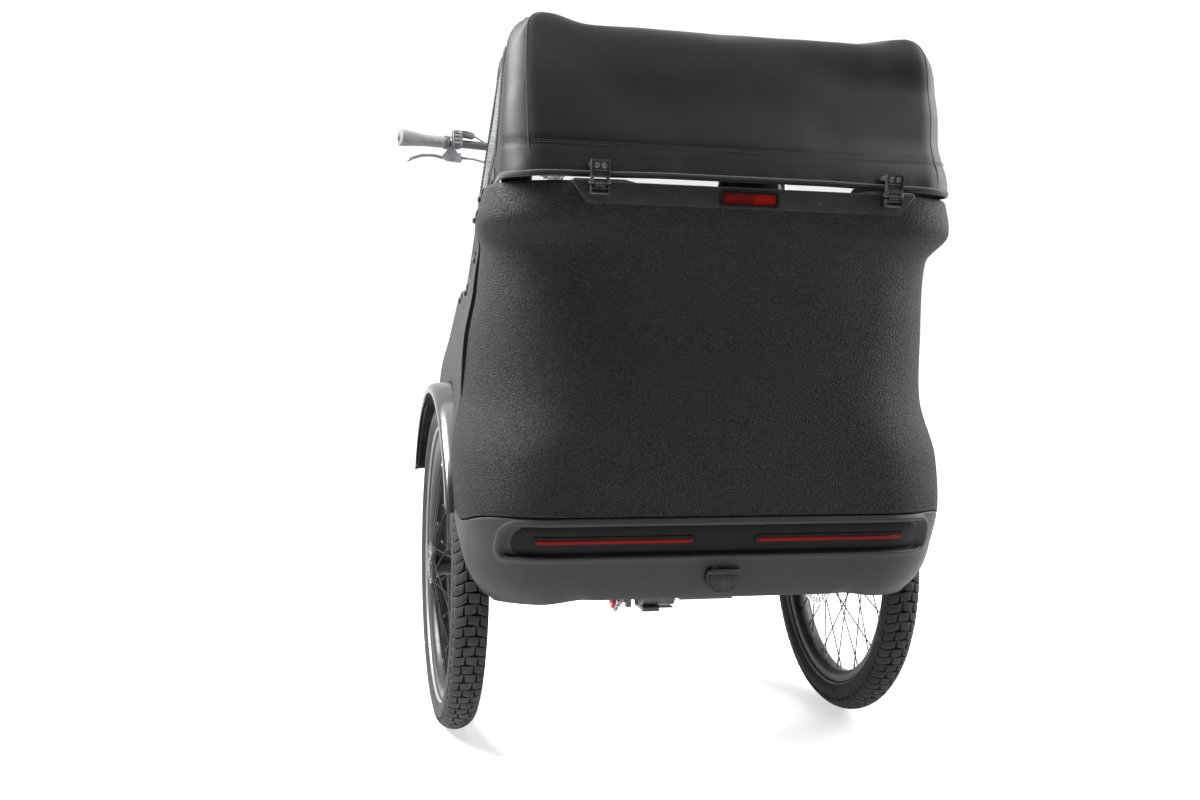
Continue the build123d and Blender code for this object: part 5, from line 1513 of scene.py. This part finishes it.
def pipe_loop(s, pts, r, mat=0):
    p = np.asarray(pts, float)
    n = len(p)
    rows = []
    u = None
    for k in range(n):
        t3 = unit(p[(k + 1) % n] - p[k - 1])
        u = unit(np.cross(t3, (0.3, 0.2, 1.0))) if u is None else unit(u - t3 * (u @ t3))
        w3 = np.cross(t3, u)
        rows.append([p[k] + r * (math.cos(a) * u + math.sin(a) * w3) for a in np.linspace(0, 2 * math.pi, 9)[:-1]])
    s.grid(rows, cu=True, cv=True, mat=mat)


# seat: two places with a sewn line between them, piped round its top edge
s = Shape()
s.box((-294, -326, 564), (294, -20, 619), 17, 4)
seat = s.make("seat_pad", SEAT, None)
SEAT_LINES = (-146.0, 0.0, 146.0)


def seat_seam(p):
    on_top = p[2] > 604 and any(abs(p[0] - x) < 5 for x in SEAT_LINES) and -300 < p[1] < -45
    return on_top or abs(p[2] - 606) < 5 and (abs(p[0]) > 286 or p[1] < -318 or p[1] > -28) or p[2] < 568


puff(seat, 0.008, 0.010, seat_seam)
press(seat, lambda p: 4.5 * (p[:, 2] > 600) * smooth(-306, -292, p[:, 1]) * smooth(-40, -54, p[:, 1])
      * sum(np.exp(-((p[:, 0] - x) / 6.0) ** 2) for x in SEAT_LINES))
soften(seat)
place_on(seat, "rear_chassis", ["bench_cushion"])

# backrest: three upright channels each side of the middle, piped round its front face
s = Shape()
s.box((-278, -381, 645), (278, -337, 925), 17, 4)
back = s.make("back_pad", SEAT, None)
BACK_LINES = (-190.0, -95.0, 0.0, 95.0, 190.0)


def back_seam(p):
    on_face = p[1] > -346 and any(abs(p[0] - x) < 5 for x in BACK_LINES) and 672 < p[2] < 898
    return on_face or abs(p[1] + 349) < 5 and (abs(p[0]) > 270 or p[2] < 653 or p[2] > 917) or p[1] < -378


puff(back, 0.008, 0.009, back_seam)
press(back, lambda p: 4.0 * (p[:, 1] > -350) * smooth(664, 680, p[:, 2]) * smooth(906, 890, p[:, 2])
      * sum(np.exp(-((p[:, 0] - x) / 6.0) ** 2) for x in BACK_LINES))
soften(back)
place_on(back, "rear_chassis", ["bench_backrest"])

s = Shape()
o = rounded([(-295, -327), (295, -327), (295, -19), (-295, -19)], [18] * 4, 8)
pipe_loop(s, [(x, y, 606) for x, y in spread_along(np.vstack([o, o[:1]]), 220)[:-1]], 3.4)
o = rounded([(-279, 644), (279, 644), (279, 926), (-279, 926)], [18] * 4, 8)
pipe_loop(s, [(x, -349, z) for x, z in spread_along(np.vstack([o, o[:1]]), 220)[:-1]], 3.2)
for x in SEAT_LINES:
    stitches(s, [(x, y, 619.5) for y in np.linspace(-296, -50, 60)], lambda p: np.array((0, 0, 1.0)), 7.5, 5.0, 0.8)
for x in BACK_LINES:
    stitches(s, [(x, -336.5, z) for z in np.linspace(676, 894, 50)], lambda p: np.array((0, 1.0, 0)), 7.5, 5.0, 0.8)
s.make("pad_piping", TAPE, "rear_chassis", slot="seat_fabric", angle=60)

# saddle: a firm crowned pad with a groove down the middle
SAD = [(496, 70, 950, 976), (512, 84, 943, 979.5), (560, 91, 938, 982), (605, 74, 937, 979), (650, 50, 936, 974), (700, 32, 937, 969.5),
       (735, 23, 939, 966), (747, 16, 943, 962)]
SADF = [pchip([r[0] for r in SAD], [r[k] for r in SAD]) for k in (1, 2, 3)]


def saddle_loop(y):
    h, z0, z1 = (float(f(y)) for f in SADF)
    out = []
    for q in np.linspace(0, 2 * math.pi, 56, endpoint=False):
        cx, sz = math.cos(q), math.sin(q)
        x = h * np.sign(cx) * abs(cx) ** 0.62
        mid = z0 + (z1 - z0) * 0.42
        z = mid + (z1 - mid) * abs(sz) ** 0.55 if sz > 0 else mid - (mid - z0) * abs(sz) ** 0.35
        if sz > 0:
            z -= 5.0 * math.exp(-(x / 9.0) ** 2) * float(smooth(520, 560, y)) * float(smooth(735, 690, y))
            z += 2.5 * math.exp(-((abs(x) - 40) / 22.0) ** 2) * float(smooth(620, 560, y))
        out.append((x, y, z))
    return out


s = Shape()
s.grid([saddle_loop(y) for y in np.concatenate([np.linspace(496, 520, 7), np.linspace(526, 725, 36), np.linspace(729, 747, 7)])],
       cv=True, cap_u=True)
sad = s.make("saddle_pad", LEATHER, None, angle=70)
mod = sad.modifiers.new("soft", "SUBSURF")
mod.levels = 1
apply_modifiers(sad)
shade(sad, 70)
place_on(sad, "front_frame", ["saddle"])
s = Shape()
for sg in (-1, 1):
    edge = [(sg * float(SADF[0](y)) * 0.80, y, float(SADF[2](y)) - 3.2) for y in np.linspace(510, 738, 80)]
    stitches(s, edge, lambda p: np.array((sg * 0.4, 0, 0.9)), 6.0, 4.2, 0.7)
    s.tube(spline([(sg * 9, 738, 946), (sg * 15, 722, 936), (sg * 21, 700, 931), (sg * 21, 640, 931), (sg * 21, 600, 931),
                   (sg * 26, 552, 938), (sg * 30, 522, 948)], 40), 3.4, 10, mat=1)
s.prism(rounded([(-62, 508), (62, 508), (40, 600), (14, 742), (-14, 742), (-40, 600)], [22, 22, 60, 10, 10, 60], 7),
        lambda a, b, c: (a, b, 934.5 + c), 5.0, 2.0, 2, mat=2)
s.make("saddle_underside", [THREAD, STEEL, BLACK], "front_frame", slot="saddle_cover", angle=50)

# ------------------------------------------------------------------ rider's half
HEAD = rad(69)
SDIR = np.array((0, -math.cos(HEAD), math.sin(HEAD)))


def steer_pt(s_at):
    return np.array((0, 1448.6, WHEEL_R)) + SDIR * s_at


def lerp(a, b, t):
    return np.asarray(a, float) * (1 - t) + np.asarray(b, float) * t


BAR_END, BAR_GRIP = np.array((434.0, 1071, 1265)), np.array((172.0, 1133.5, 1260.5))
s_grip, s_lever, s_pod = Shape(), Shape(), Shape()
for sg in (-1, 1):
    end, inner = BAR_END * (sg, 1, 1), BAR_GRIP * (sg, 1, 1)
    d = unit(inner - end)
    back_dir = unit(np.array((0, -1.0, 0.12)) - d * (np.array((0, -1.0, 0.12)) @ d))
    up_dir = np.cross(d, back_dir)
    up_dir = up_dir if up_dir[2] > 0 else -up_dir
    rows = []
    for a in np.concatenate([[-6.0, -5.6, -4.6], np.linspace(-3, 128, 84), [130, 131.6, 132]]):
        t01 = (a + 6) / 138.0
        wing = float(smooth(0.62, 0.0, t01))
        tip = 0.80 if a < -5.8 else 0.92 if a < -5 else 0.98 if a < -4 else 1.0
        inn = 0.90 if a > 131.8 else 0.96 if a > 131 else 1.0
        ridge_r = 0.45 * math.sin(a * 2 * math.pi / 4.4) if 40 < a < 124 else 0.0
        ring = []
        for q in np.linspace(0, 2 * math.pi, 40, endpoint=False):
            cb, cu = math.cos(q), math.sin(q)          # cb: towards the rider
            r = 15.6 + ridge_r + 3.6 * wing * abs(cu) + 15.0 * wing * max(0.0, cb) ** 2.2
            r *= tip * inn
            ring.append(end + d * a + r * (cb * back_dir + cu * up_dir * (1.0 + 0.12 * wing)))
        rows.append(ring)
    s_grip.grid(rows, cv=True, cap_u=True)
    s_grip.lathe([(122, 15.8), (122, 17.6), (123, 18.2), (131, 18.2), (132.4, 17.4), (132.4, 12)], end, d=d, n=40, mat=1)
    s_grip.lathe([(-7.0, 2), (-7.0, 9.5), (-6.2, 10.5), (-4, 10.5)], end, d=d, n=28, mat=1)
    # lever: ring clamp, wedge body, reservoir, blade
    clamp = end + d * 136
    pivot = clamp + d * 8 + np.array((0, 34, -34))
    s_lever.lathe([(0, 11.4), (0, 16.6), (1, 17.6), (15, 17.6), (16, 16.6), (16, 11.4)], clamp, d=d, n=36, closed=True)
    body = [(-32, -9), (-31, 5), (-15, 13), (-7, 34), (7, 36), (11, 14), (22, 4), (24, -5), (10, -12), (-8, -13)]
    s_lever.prism(rounded(body, [3, 4, 6, 4, 4, 6, 4, 4, 5, 5], 4),
                  lambda u, v, c: pivot - d * u + np.array((0, c - 9 - max(0.0, v) * 0.95, v)), 18, 2.2, 2, mat=1)
    s_lever.lathe([(2, 3), (2, 9.6), (3, 10.6), (29, 10.6), (31, 9.4), (33, 6.0), (33, 2.6)], pivot + np.array((0, 3.0, -2.5)), d=d, n=30, mat=0)
    s_lever.box((-15, -8, -2), (15, 8, 3.5), 1.8, 2, mat=2, turn=Matrix(
        ((d[0], 0, 0, (pivot + d * 16)[0]), (d[1], 1, 0, (pivot + d * 16)[1] + 3), (d[2], 0, 1, (pivot + d * 16)[2] + 8.5), (0, 0, 0, 1))))
    s_lever.lathe([(-11, 2.0), (-11, 5.2), (-10, 6.0), (10, 6.0), (11, 5.2), (11, 2.0)], pivot - d * 8, d=(0, 0, 1), n=22, mat=3)
    blade = [(-8, -3, 0), (8, -5, 1), (24, -3.5, 2), (50, 0, 3.5), (78, -2, 4), (100, -9, 4), (114, -15, 4), (122, -19.5, 4)]
    pts = spline([pivot - d * u + np.array((0, w, v)) for u, v, w in blade], 46)
    rr = np.interp(np.linspace(0, 1, 46), [0, 0.15, 0.35, 0.75, 0.92, 0.96, 1.0], [7.6, 6.4, 6.0, 5.9, 5.8, 7.0, 4.4])
    s_lever.tube(pts, rr, 16, mat=1, flat=(1.0, 0.72))
    screw(s_lever, clamp + d * 8 + np.array((0, 10, 15.5)), (0, 0.3, 1), 3.2, 2.0, mat=3)
    a_pt = pivot + d * 33
    s_lever.lathe([(-3, 4.2), (2, 4.2), (3, 3.6), (15, 2.9), (15, 2.4)], a_pt, d=d, n=18, mat=2)   # boot over the hose end
    for f, c0 in ((0.35, None), (0.80, None)):
        at = lerp(pivot + d * 67, np.array((sg * 104, 1184, 1205)), f)
        s_lever.lathe([(-4, 3.0), (-4, 3.9), (4, 3.9), (4, 3.0)], at, d=unit(np.array((sg * 104, 1184, 1205)) - (pivot + d * 67)), n=16, mat=2)
    # control pod facing the rider, on its own band
    k0 = end + d * 156
    s_pod.lathe([(-6, 11.3), (-6, 15.4), (-5, 16.2), (7, 16.2), (8, 15.4), (8, 11.3)], k0, d=d, n=32, closed=True)
    frame_m = Matrix(((d[0], back_dir[0], up_dir[0], k0[0]), (d[1], back_dir[1], up_dir[1], k0[1]), (d[2], back_dir[2], up_dir[2], k0[2]), (0, 0, 0, 1)))
    s_pod.box((-15, 6, -16), (14, 21, 33), 4.5, 3, turn=frame_m)
    for z in (-6, 4, 14):
        s_pod.box((-10.5, 20, z), (9.5, 23.4, z + 6.4), 1.8, 2, mat=1, turn=frame_m)
    s_pod.box((-9, 20.4, 24), (8, 22.2, 29), 0.9, 2, mat=2, turn=frame_m)
    s_pod.prism(rounded([(10, 16), (46, 14), (52, 20), (46, 28), (24, 33), (10, 33)], [3, 4, 4, 5, 6, 3], 4),
                lambda u, v, c: np.array(frame_m @ Vector((u, 4 + c, v))), 15, 2.6, 2)
    s_pod.tube(spline([np.array(frame_m @ Vector(p)) for p in ((50, 11, 21), (62, 10, 17), (74, 6, 12), (84, 0, 9.5))], 20), [2.0] * 20, 8, mat=1)
s_grip.make("grip_sleeves", [GRIP, BLACK], "steering", ["grips"], "grip_rubber", angle=40)
s_lever.make("lever_sets", [COAT, GREY_METAL, BLACK, STEEL], "steering", ["brake_levers"], "black_metal", angle=38)
s_pod.make("control_pods", [BLACK, GRIP, GREY_METAL], "steering", slot="black_plastic", angle=38)

s = Shape()
s.prism(rounded([(-31, 1122), (31, 1122), (31, 1200), (-31, 1200)], [11] * 4, 7), lambda a, b, c: (a, b, 1230 + c), 12.6, 3.6, 3)
s.prism(rounded([(-26, 1140), (26, 1140), (26, 1195), (-26, 1195)], [6] * 4, 6), lambda a, b, c: (a, b, 1242 + c), 1.9, 0.7, 2, mat=1)
for x in (-17, 0, 17):
    s.prism(rounded([(x - 6, 1126), (x + 6, 1126), (x + 6, 1134), (x - 6, 1134)], [2.5] * 4, 5), lambda a, b, c: (a, b, 1241.6 + c), 2.2, 0.9, 2, mat=2)
s.box((-12, 1150, 1222), (12, 1172, 1232), 2.5, 2)
s.make("display_unit", [BLACK, SCREEN, GRIP], "steering", ["display"], "black_plastic", angle=38)

s = Shape()
c = np.array((0, 1304.5, 713.8))
s.lathe([(14, 4), (14, 15), (17, 19), (24, 22.5), (26, 22.5), (27, 24.5), (30, 24.5), (31, 23.2), (34, 23.2), (35, 25.4), (38, 25.4), (39, 24),
         (43, 24.2), (44, 26.6), (64, 26.8), (66, 26.0), (66, 23.6), (62, 22.6), (61, 4)], c, d=(0, 1, 0), n=48)
s.lathe([(61.5, 1), (63.6, 6), (64.4, 14), (63.6, 20), (62.0, 22.8), (60.5, 22.0), (60.5, 1)], c, d=(0, 1, 0), n=48, mat=1)
s.box((-9, 1318, 684), (9, 1334, 697), 2.5, 2)
s.lathe([(-12, 2), (-12, 4), (12, 4), (12, 2)], (0, 1326, 690), n=16, mat=2)
s.make("head_lamp", [COAT, CLEAR_LAMP, STEEL], "steering", ["headlight"], "black_plastic", angle=38)

# fork: forged crown, slim upper legs in wider lower legs, axle lugs
s = Shape()
crown_c = steer_pt(402)
s.lathe([(-82, 3), (-82, 14), (-79, 18), (-72, 20.6), (-40, 21.2), (40, 21.2), (72, 20.6), (79, 18), (82, 14), (82, 3)], crown_c, n=40)
s.lathe([(398, 4), (398, 22), (401, 25), (446, 25), (449, 23.5), (449, 15)], steer_pt(0), d=SDIR, n=44)
s.lathe([(449, 8), (449, 15), (648, 15), (648, 8)], steer_pt(0), d=SDIR, n=36)
for sg in (-1, 1):
    top_p, bot_p = np.array((sg * 66, 1300.5, 699.8)), np.array((sg * 66, 1500, WHEEL_R))
    d = unit(bot_p - top_p)
    run_l = float(np.linalg.norm(bot_p - top_p))
    s.lathe([(-16, 3), (-16, 13), (-14.5, 15), (-2, 15.6), (20, 17.4), (27, 17.4), (28.5, 13.6), (190, 13.6), (190, 4)], top_p, d=d, n=36)
    s.lathe([(178, 13.6), (178, 16.6), (180, 17.4), (190, 17.4), (192, 16.2), (run_l - 30, 15.4), (run_l - 6, 14.8), (run_l, 13)], top_p, d=d, n=36, mat=1)
    s.lathe([(sg * 51, 8), (sg * 51, 15.5), (sg * 52.5, 17.6), (sg * 79, 17.6), (sg * 82, 16), (sg * 82, 8)], (0, 1500, WHEEL_R), n=36, mat=1)
    s.lathe([(sg * 82, 8.6), (sg * 86, 8.6), (sg * 88.5, 7.4), (sg * 88.5, 3)], (0, 1500, WHEEL_R), n=6, mat=2)
s.lathe([(-60, 3), (-60, 7.4), (60, 7.4), (60, 3)], (0, 1500, WHEEL_R), n=24, mat=2)
s.box((-74, 1404, 356), (-56, 1444, 400), 4, 2, mat=1)
s.make("fork_legs", [COAT, PAINT, STEEL], "steering", ["fork"], "frame_paint", angle=38)

s = Shape()
rows = []
for a in np.linspace(42, 202, 96):
    e = min(1.0, (a - 42) / 3.0, (202 - a) / 3.0)
    wide = 40.0 * (0.72 + 0.28 * math.sqrt(max(0.0, 1 - (1 - e) ** 2)))
    sec = []
    for k in np.linspace(-1, 1, 21):
        sec.append((wide * k, 334.3 - 8.0 * abs(k) ** 3.2))
    for k in np.linspace(1, -1, 21):
        sec.append((wide * k * 0.985, 332.0 - 8.0 * abs(k) ** 3.2))
    rows.append([(x, 1500 + r * math.cos(rad(a)), WHEEL_R + r * math.sin(rad(a))) for x, r in sec])
s.grid(rows, cv=True, cap_u=True)
for sg in (-1, 1):
    a = rad(188)
    tip = np.array((sg * 39.5, 1500 + 329 * math.cos(a), WHEEL_R + 329 * math.sin(a)))
    s.tube([(sg * 60, 1474, 328.5), lerp((sg * 60, 1474, 328.5), tip, 0.5), tip], 2.4, 10, mat=1)
    s.lathe([(-1, 5.0), (3, 5.0), (4, 4.0), (4, 1.0)], tip - np.array((sg * 1.0, 0, 0)), d=(sg, 0, 0), n=14, mat=1)
    s.lathe([(-3, 6.0), (3.5, 6.0), (4.5, 5.0), (4.5, 1)], (sg * 60, 1474, 328.5), d=(sg, 0, 0), n=14, mat=1)
s.make("front_mudguard", [GLOSS, COAT], "steering", ["front_fender"], "gloss_black", angle=50)

s = Shape()
caliper(s, -60, -36, -48.1, -43.1, 1378, 1438, 353, 408, 1394, -1)
s.make("front_caliper_body", [COAT, GREY_METAL, STEEL], "steering", ["front_caliper"], "black_metal", angle=35)

s = Shape()   # stem clamp bolts, top cap, headset
for x in (-15, 15):
    for z in (-13, 13):
        screw(s, (x, 1165 + math.sqrt(22 ** 2 - z ** 2) - 0.5, 1205 + z), (0, 1, 0), 3.4, 2.6)
s.lathe([(930, 4), (930, 22), (934, 22.4), (937, 21), (938, 14), (937, 5)], steer_pt(0), d=SDIR, n=40, mat=1)
screw(s, steer_pt(937), SDIR, 4.2, 1.6)
for z in (700, 716):
    screw(s, steer_pt(z) + np.array((0, -17.6, -6)), (0, -1, -0.36), 3.4, 2.2)
s.make("stem_fittings", [STEEL, COAT], "steering", slot="black_metal", angle=38)

# frame fittings: headset cups, weld beads, seat collar, dust boot on the lean pivot
s = Shape()
s.lathe([(449.6, 15.4), (449.6, 27.5), (451, 29), (456, 29), (458, 27.2), (458, 15.4)], steer_pt(0), d=SDIR, n=44, closed=True)
s.lathe([(636, 15.4), (636, 27.2), (638, 29), (644, 29), (646.5, 26), (647.4, 21), (647.4, 15.4)], steer_pt(0), d=SDIR, n=44, closed=True)
DLOW, DHIGH = np.array((0, 925.0, 412)), steer_pt(520)
DDIR = unit(DHIGH - DLOW)
SLOW, SHIGH = np.array((0, 838.0, 410)), np.array((0, 672.0, 880))
SDN = unit(SHIGH - SLOW)


def weld(at, d, r):
    prof = [(-3.2, r - 0.6)] + [(x, r + 1.7 * math.cos(x / 3.2 * math.pi / 2)) for x in np.linspace(-2.4, 2.4, 5)] + [(3.2, r - 0.6)]
    s.lathe(prof, at, d=d, n=40, mat=1, closed=True)


weld(DHIGH - DDIR * 26, DDIR, 34.2)
weld(DLOW + DDIR * 22, DDIR, 34.2)
weld(SLOW + SDN * 20, SDN, 18.2)
weld((0, 766, 630.2), unit((0, 320, -39)), 16.2)
weld((0, 1058, 594.6), unit((0, 320, -39)), 16.2)
weld((0, 768, 330), (0, 1, 0), 32.2)
s.lathe([(-16, 14.5), (-16, 20.6), (-14, 22), (-1, 22), (1, 20.6), (1, 14.5)], SHIGH, d=SDN, n=40, mat=0, closed=True)
s.box((-7, 640, 862), (7, 652, 880), 2.5, 2)
s.tube(spline([(8, 646, 871), (22, 648, 873), (36, 660, 878), (40, 686, 884), (39, 700, 886)], 30), np.linspace(4.4, 3.0, 30), 12, mat=2)
prof = [(-6, 25)]
for k in range(5):
    prof += [(-5 + 3.4 * k, 36.5), (-3.3 + 3.4 * k, 40.0), (-1.6 + 3.4 * k, 36.5)]
prof += [(12, 25)]
s.lathe(prof, (0, 446, 330), d=(0, 1, 0), n=48, mat=3, closed=True)
for y in (785, 945):
    for z in (418,):
        for sg in (-1, 1):
            screw(s, (sg * 40, y, z), (sg, 0, 0), 5.0, 3.0, mat=2)
for t01 in (0.30, 0.44):
    q = lerp(SLOW, SHIGH, t01) + np.array((0, 17.0, 6.0))
    screw(s, q, (0, 0.943, 0.333), 4.2, 2.2, mat=2)
s.make("frame_fittings", [COAT, PAINT, STEEL, RUBBER], "front_frame", slot="frame_paint", angle=38)

# battery along the down tube
BAT = DLOW + DDIR * 60
BV = np.array((0, -DDIR[2], DDIR[1]))


def on_bat(u, v, w):
    return BAT + np.array((u, 0, 0)) + BV * v + DDIR * w


s = Shape()
sec = rounded([(-42, 37), (42, 37), (42, 111), (-42, 111)], [9, 9, 18, 18], 7)
rows = []
for w, k in ((0, 0.86), (1.5, 0.93), (5, 0.98), (10, 1.0), (60, 1.0), (61, 0.985), (63, 0.985), (64, 1.0), (236, 1.0), (237, 0.985), (239, 0.985), (240, 1.0), (290, 1.0), (295, 0.98), (298.5, 0.93), (300, 0.86)):
    rows.append([on_bat(a * k, 74 + (b - 74) * k, w) for a, b in sec])
s.grid(rows, cv=True, cap_u=True)
for sg in (-1, 1):
    s.prism(rounded([(78, 50), (222, 50), (222, 98), (78, 98)], [12] * 4, 6), lambda a, b, c: on_bat(sg * (41.0 + c), b, a), 2.2, 0.9, 2, mat=1)
s.prism(rounded([(-22, 110), (22, 110), (22, 190), (-22, 190)], [10] * 4, 6), lambda a, b, c: on_bat(a, 110.0 + c, b), 2.4, 1.0, 2, mat=1)
for k in range(4):
    s.lathe([(0, 2.4), (0.8, 2.2), (1.0, 0.8)], on_bat(-13.5 + 9 * k, 112.2, 176), d=BV, n=12, mat=3)
s.lathe([(-2, 9), (2.0, 9), (3.0, 8), (3.0, 4.4), (1.4, 4.0)], on_bat(42, 74, 268), d=(1, 0, 0), n=26, mat=2)
s.prism(rounded([(-18, 6), (18, 6), (18, 294), (-18, 294)], [5] * 4, 4), lambda a, b, c: on_bat(a, 31.5 + c, b), 6.5, 1.2, 2, mat=1)
s.make("battery_case", [BLACK, TRIM, STEEL, GRIP], "front_frame", ["battery"], "black_plastic", angle=38)

# motor block with side covers
s = Shape()
block_o = rounded([(790, 236), (940, 236), (940, 396), (790, 396)], [40] * 4, 9)
s.prism(block_o, lambda a, b, c: (-54 + c, a, b), 108, 9.0, 4)
for sg in (-1, 1):
    s.lathe([(50, 13), (50, 60), (55, 62), (57.2, 58), (57.8, 44), (57.8, 26), (56.6, 22), (57.8, 18), (57.8, 13)], (0, 860, 300), d=(sg, 0, 0), n=64, mat=1, closed=True)
    for k in range(6):
        q = rad(60 * k + 30)
        screw(s, (sg * 56.6, 860 + 51 * math.cos(q), 300 + 51 * math.sin(q)), (sg, 0, 0), 3.6, 1.4, mat=2)
    for k in range(5):
        q = rad(72 * k + 8)
        p = (865 + 66 * math.cos(q), 316 + 70 * math.sin(q))
        screw(s, (sg * 53.6, p[0], p[1]), (sg, 0, 0), 4.2, 2.0, mat=2)
for k in range(9):
    s.box((-44, 812 + 13 * k, 232.8), (44, 817 + 13 * k, 239), 1.2, 2)
s.make("motor_casing", [COAT, BLACK, STEEL], "front_frame", ["motor_unit"], "black_plastic", angle=38)

# chain case
s = Shape()
o_big = hull_path([(860, 300, 88), (500, 330, 46)], 110)
s.prism(o_big, lambda a, b, c: (62 + c, a, b), 19.6, 5.0, 4)
o_in = hull_path([(860, 300, 74), (500, 330, 33)], 110)
s.prism(o_in, lambda a, b, c: (79.6 + c, a, b), 3.2, 1.4, 3)
s.lathe([(79, 22.4), (79, 40), (84.2, 39), (85.4, 36), (85.4, 26), (84.4, 22.4)], (0, 860, 300), n=56, mat=1, closed=True)
for p in ((500, 330), (620, 342), (640, 286), (780, 345)):
    screw(s, (82.4, p[0], p[1]), (1, 0, 0), 4.6, 1.8, mat=2)
s.lathe([(31.6, 4), (31.6, 14), (62, 14), (62, 4)], (0, 500, 330), n=28)
s.make("chain_cover", [BLACK, TRIM, STEEL], "front_frame", ["chain_case"], "black_plastic", angle=38)

# cranks: tapered forged arms on a splined spindle
s = Shape()
for sg in (-1, 1):
    ye = 860 + sg * 170
    arm = hull_path([(860, 300, 19.5), (ye, 300, 13.5)], 80)
    s.prism(arm, lambda a, b, c: (sg * (88.4 + c), a, b), 11.2, 3.0, 3)
    mid_o = hull_path([(860 + sg * 42, 300, 7.5), (860 + sg * 132, 300, 5.0)], 50)
    s.prism(mid_o, lambda a, b, c: (sg * (98.4 + c), a, b), 2.0, 0.8, 2, mat=2)
    s.lathe([(sg * 60, 4), (sg * 60, 11), (sg * 88.6, 11), (sg * 88.6, 4)], (0, 860, 300), n=32, mat=1)
    s.lathe([(sg * 98, 13.5), (sg * 101.6, 13.2), (sg * 102.6, 12), (sg * 102.6, 6), (sg * 100.8, 5)], (0, 860, 300), n=32, mat=1)
    s.lathe([(sg * 99, 3), (sg * 99, 8.6), (sg * 103.6, 8.6), (sg * 104, 7.6), (sg * 104.6, 5.4), (sg * 195, 5.2), (sg * 195, 2)], (0, ye, 300), n=24, mat=1)
s.lathe([(-60, 4), (-60, 11), (60, 11), (60, 4)], (0, 860, 300), n=32, mat=1)
s.make("crank_arms", [COAT, STEEL, BLACK], "crank", ["crank_set"], "black_metal", angle=38)

for word, sg in (("left", -1), ("right", 1)):
    s = Shape()
    yc = 860 + sg * 170
    for (lo_y, hi_y) in ((-44.6, -36.5), (36.5, 44.6)):
        s.box((0, lo_y, -11), (94, hi_y, 11), 3.0, 3, turn=Matrix.Translation((107 if sg > 0 else -201, yc, 300)))
    for x0, x1 in ((107, 115), (150, 158), (193, 201)):
        a, b2 = sorted((sg * x0, sg * x1))
        s.box((a, yc - 40, 290.5), (b2, yc + 40, 309.5), 2.6, 2)
    s.lathe([(sg * 106.4, 6), (sg * 106.4, 12.5), (sg * 108, 13.4), (sg * 126, 12.4), (sg * 190, 11.0), (sg * 198, 10.4), (sg * 200.4, 8), (sg * 200.4, 1)],
            (0, yc, 300), n=32)
    for y in (-40.5, 40.5):
        for x in (116, 132, 154, 176, 192):
            for way in (-1, 1):
                s.lathe([(0, 2.2), (1.4, 2.0), (1.6, 1.5), (2.6, 1.4), (2.7, 0.5)], (sg * x, yc + y, 300 + way * 10.8), d=(0, 0, way), n=10, mat=1)
    for y in (-1, 1):
        a, b2 = sorted((sg * 128, sg * 180))
        s.box((a, yc + y * 45 - 1.6, 294), (b2, yc + y * 45 + 1.0 * 0.9, 306), 0.8, 2, mat=2)
    s.make(f"pedal_{word}", [BLACK, STEEL, AMBER], f"{word}_pedal", [f"{word}_pedal"], "black_plastic", angle=38)

# ribbed mat on the box floor
s = Shape()
s.prism(rounded([(-296, -8), (296, -8), (272, 340), (-272, 340)], [20] * 4, 6), lambda a, b, c: (a, b, 380.1 + c), 3.2, 0.8, 2)
for x in np.linspace(-255, 255, 35):
    s.box((x - 3.0, 8, 383), (x + 3.0, 326, 385.4), 0.9, 1)
s.make("floor_mat", RUBBER, "rear_chassis", slot="black_plastic", angle=40)

# ---------------------------------------------------- every CAD node that stays
KEEP = {
    "rear_subframe": COAT, "axle_housing": COAT, "box_floor": BLACK, "wheel_well_left": FOAM, "wheel_well_right": FOAM,
    "bench_board": BLACK, "canopy_frame": ALLOY, "main_frame": PAINT, "seat_post": COAT, "handlebar": COAT, "stem": COAT,
    "brake_hoses": GRIP,
}
for node, mat in KEEP.items():
    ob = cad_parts[node]
    ob.data.materials.clear()
    ob.data.materials.append(mat)
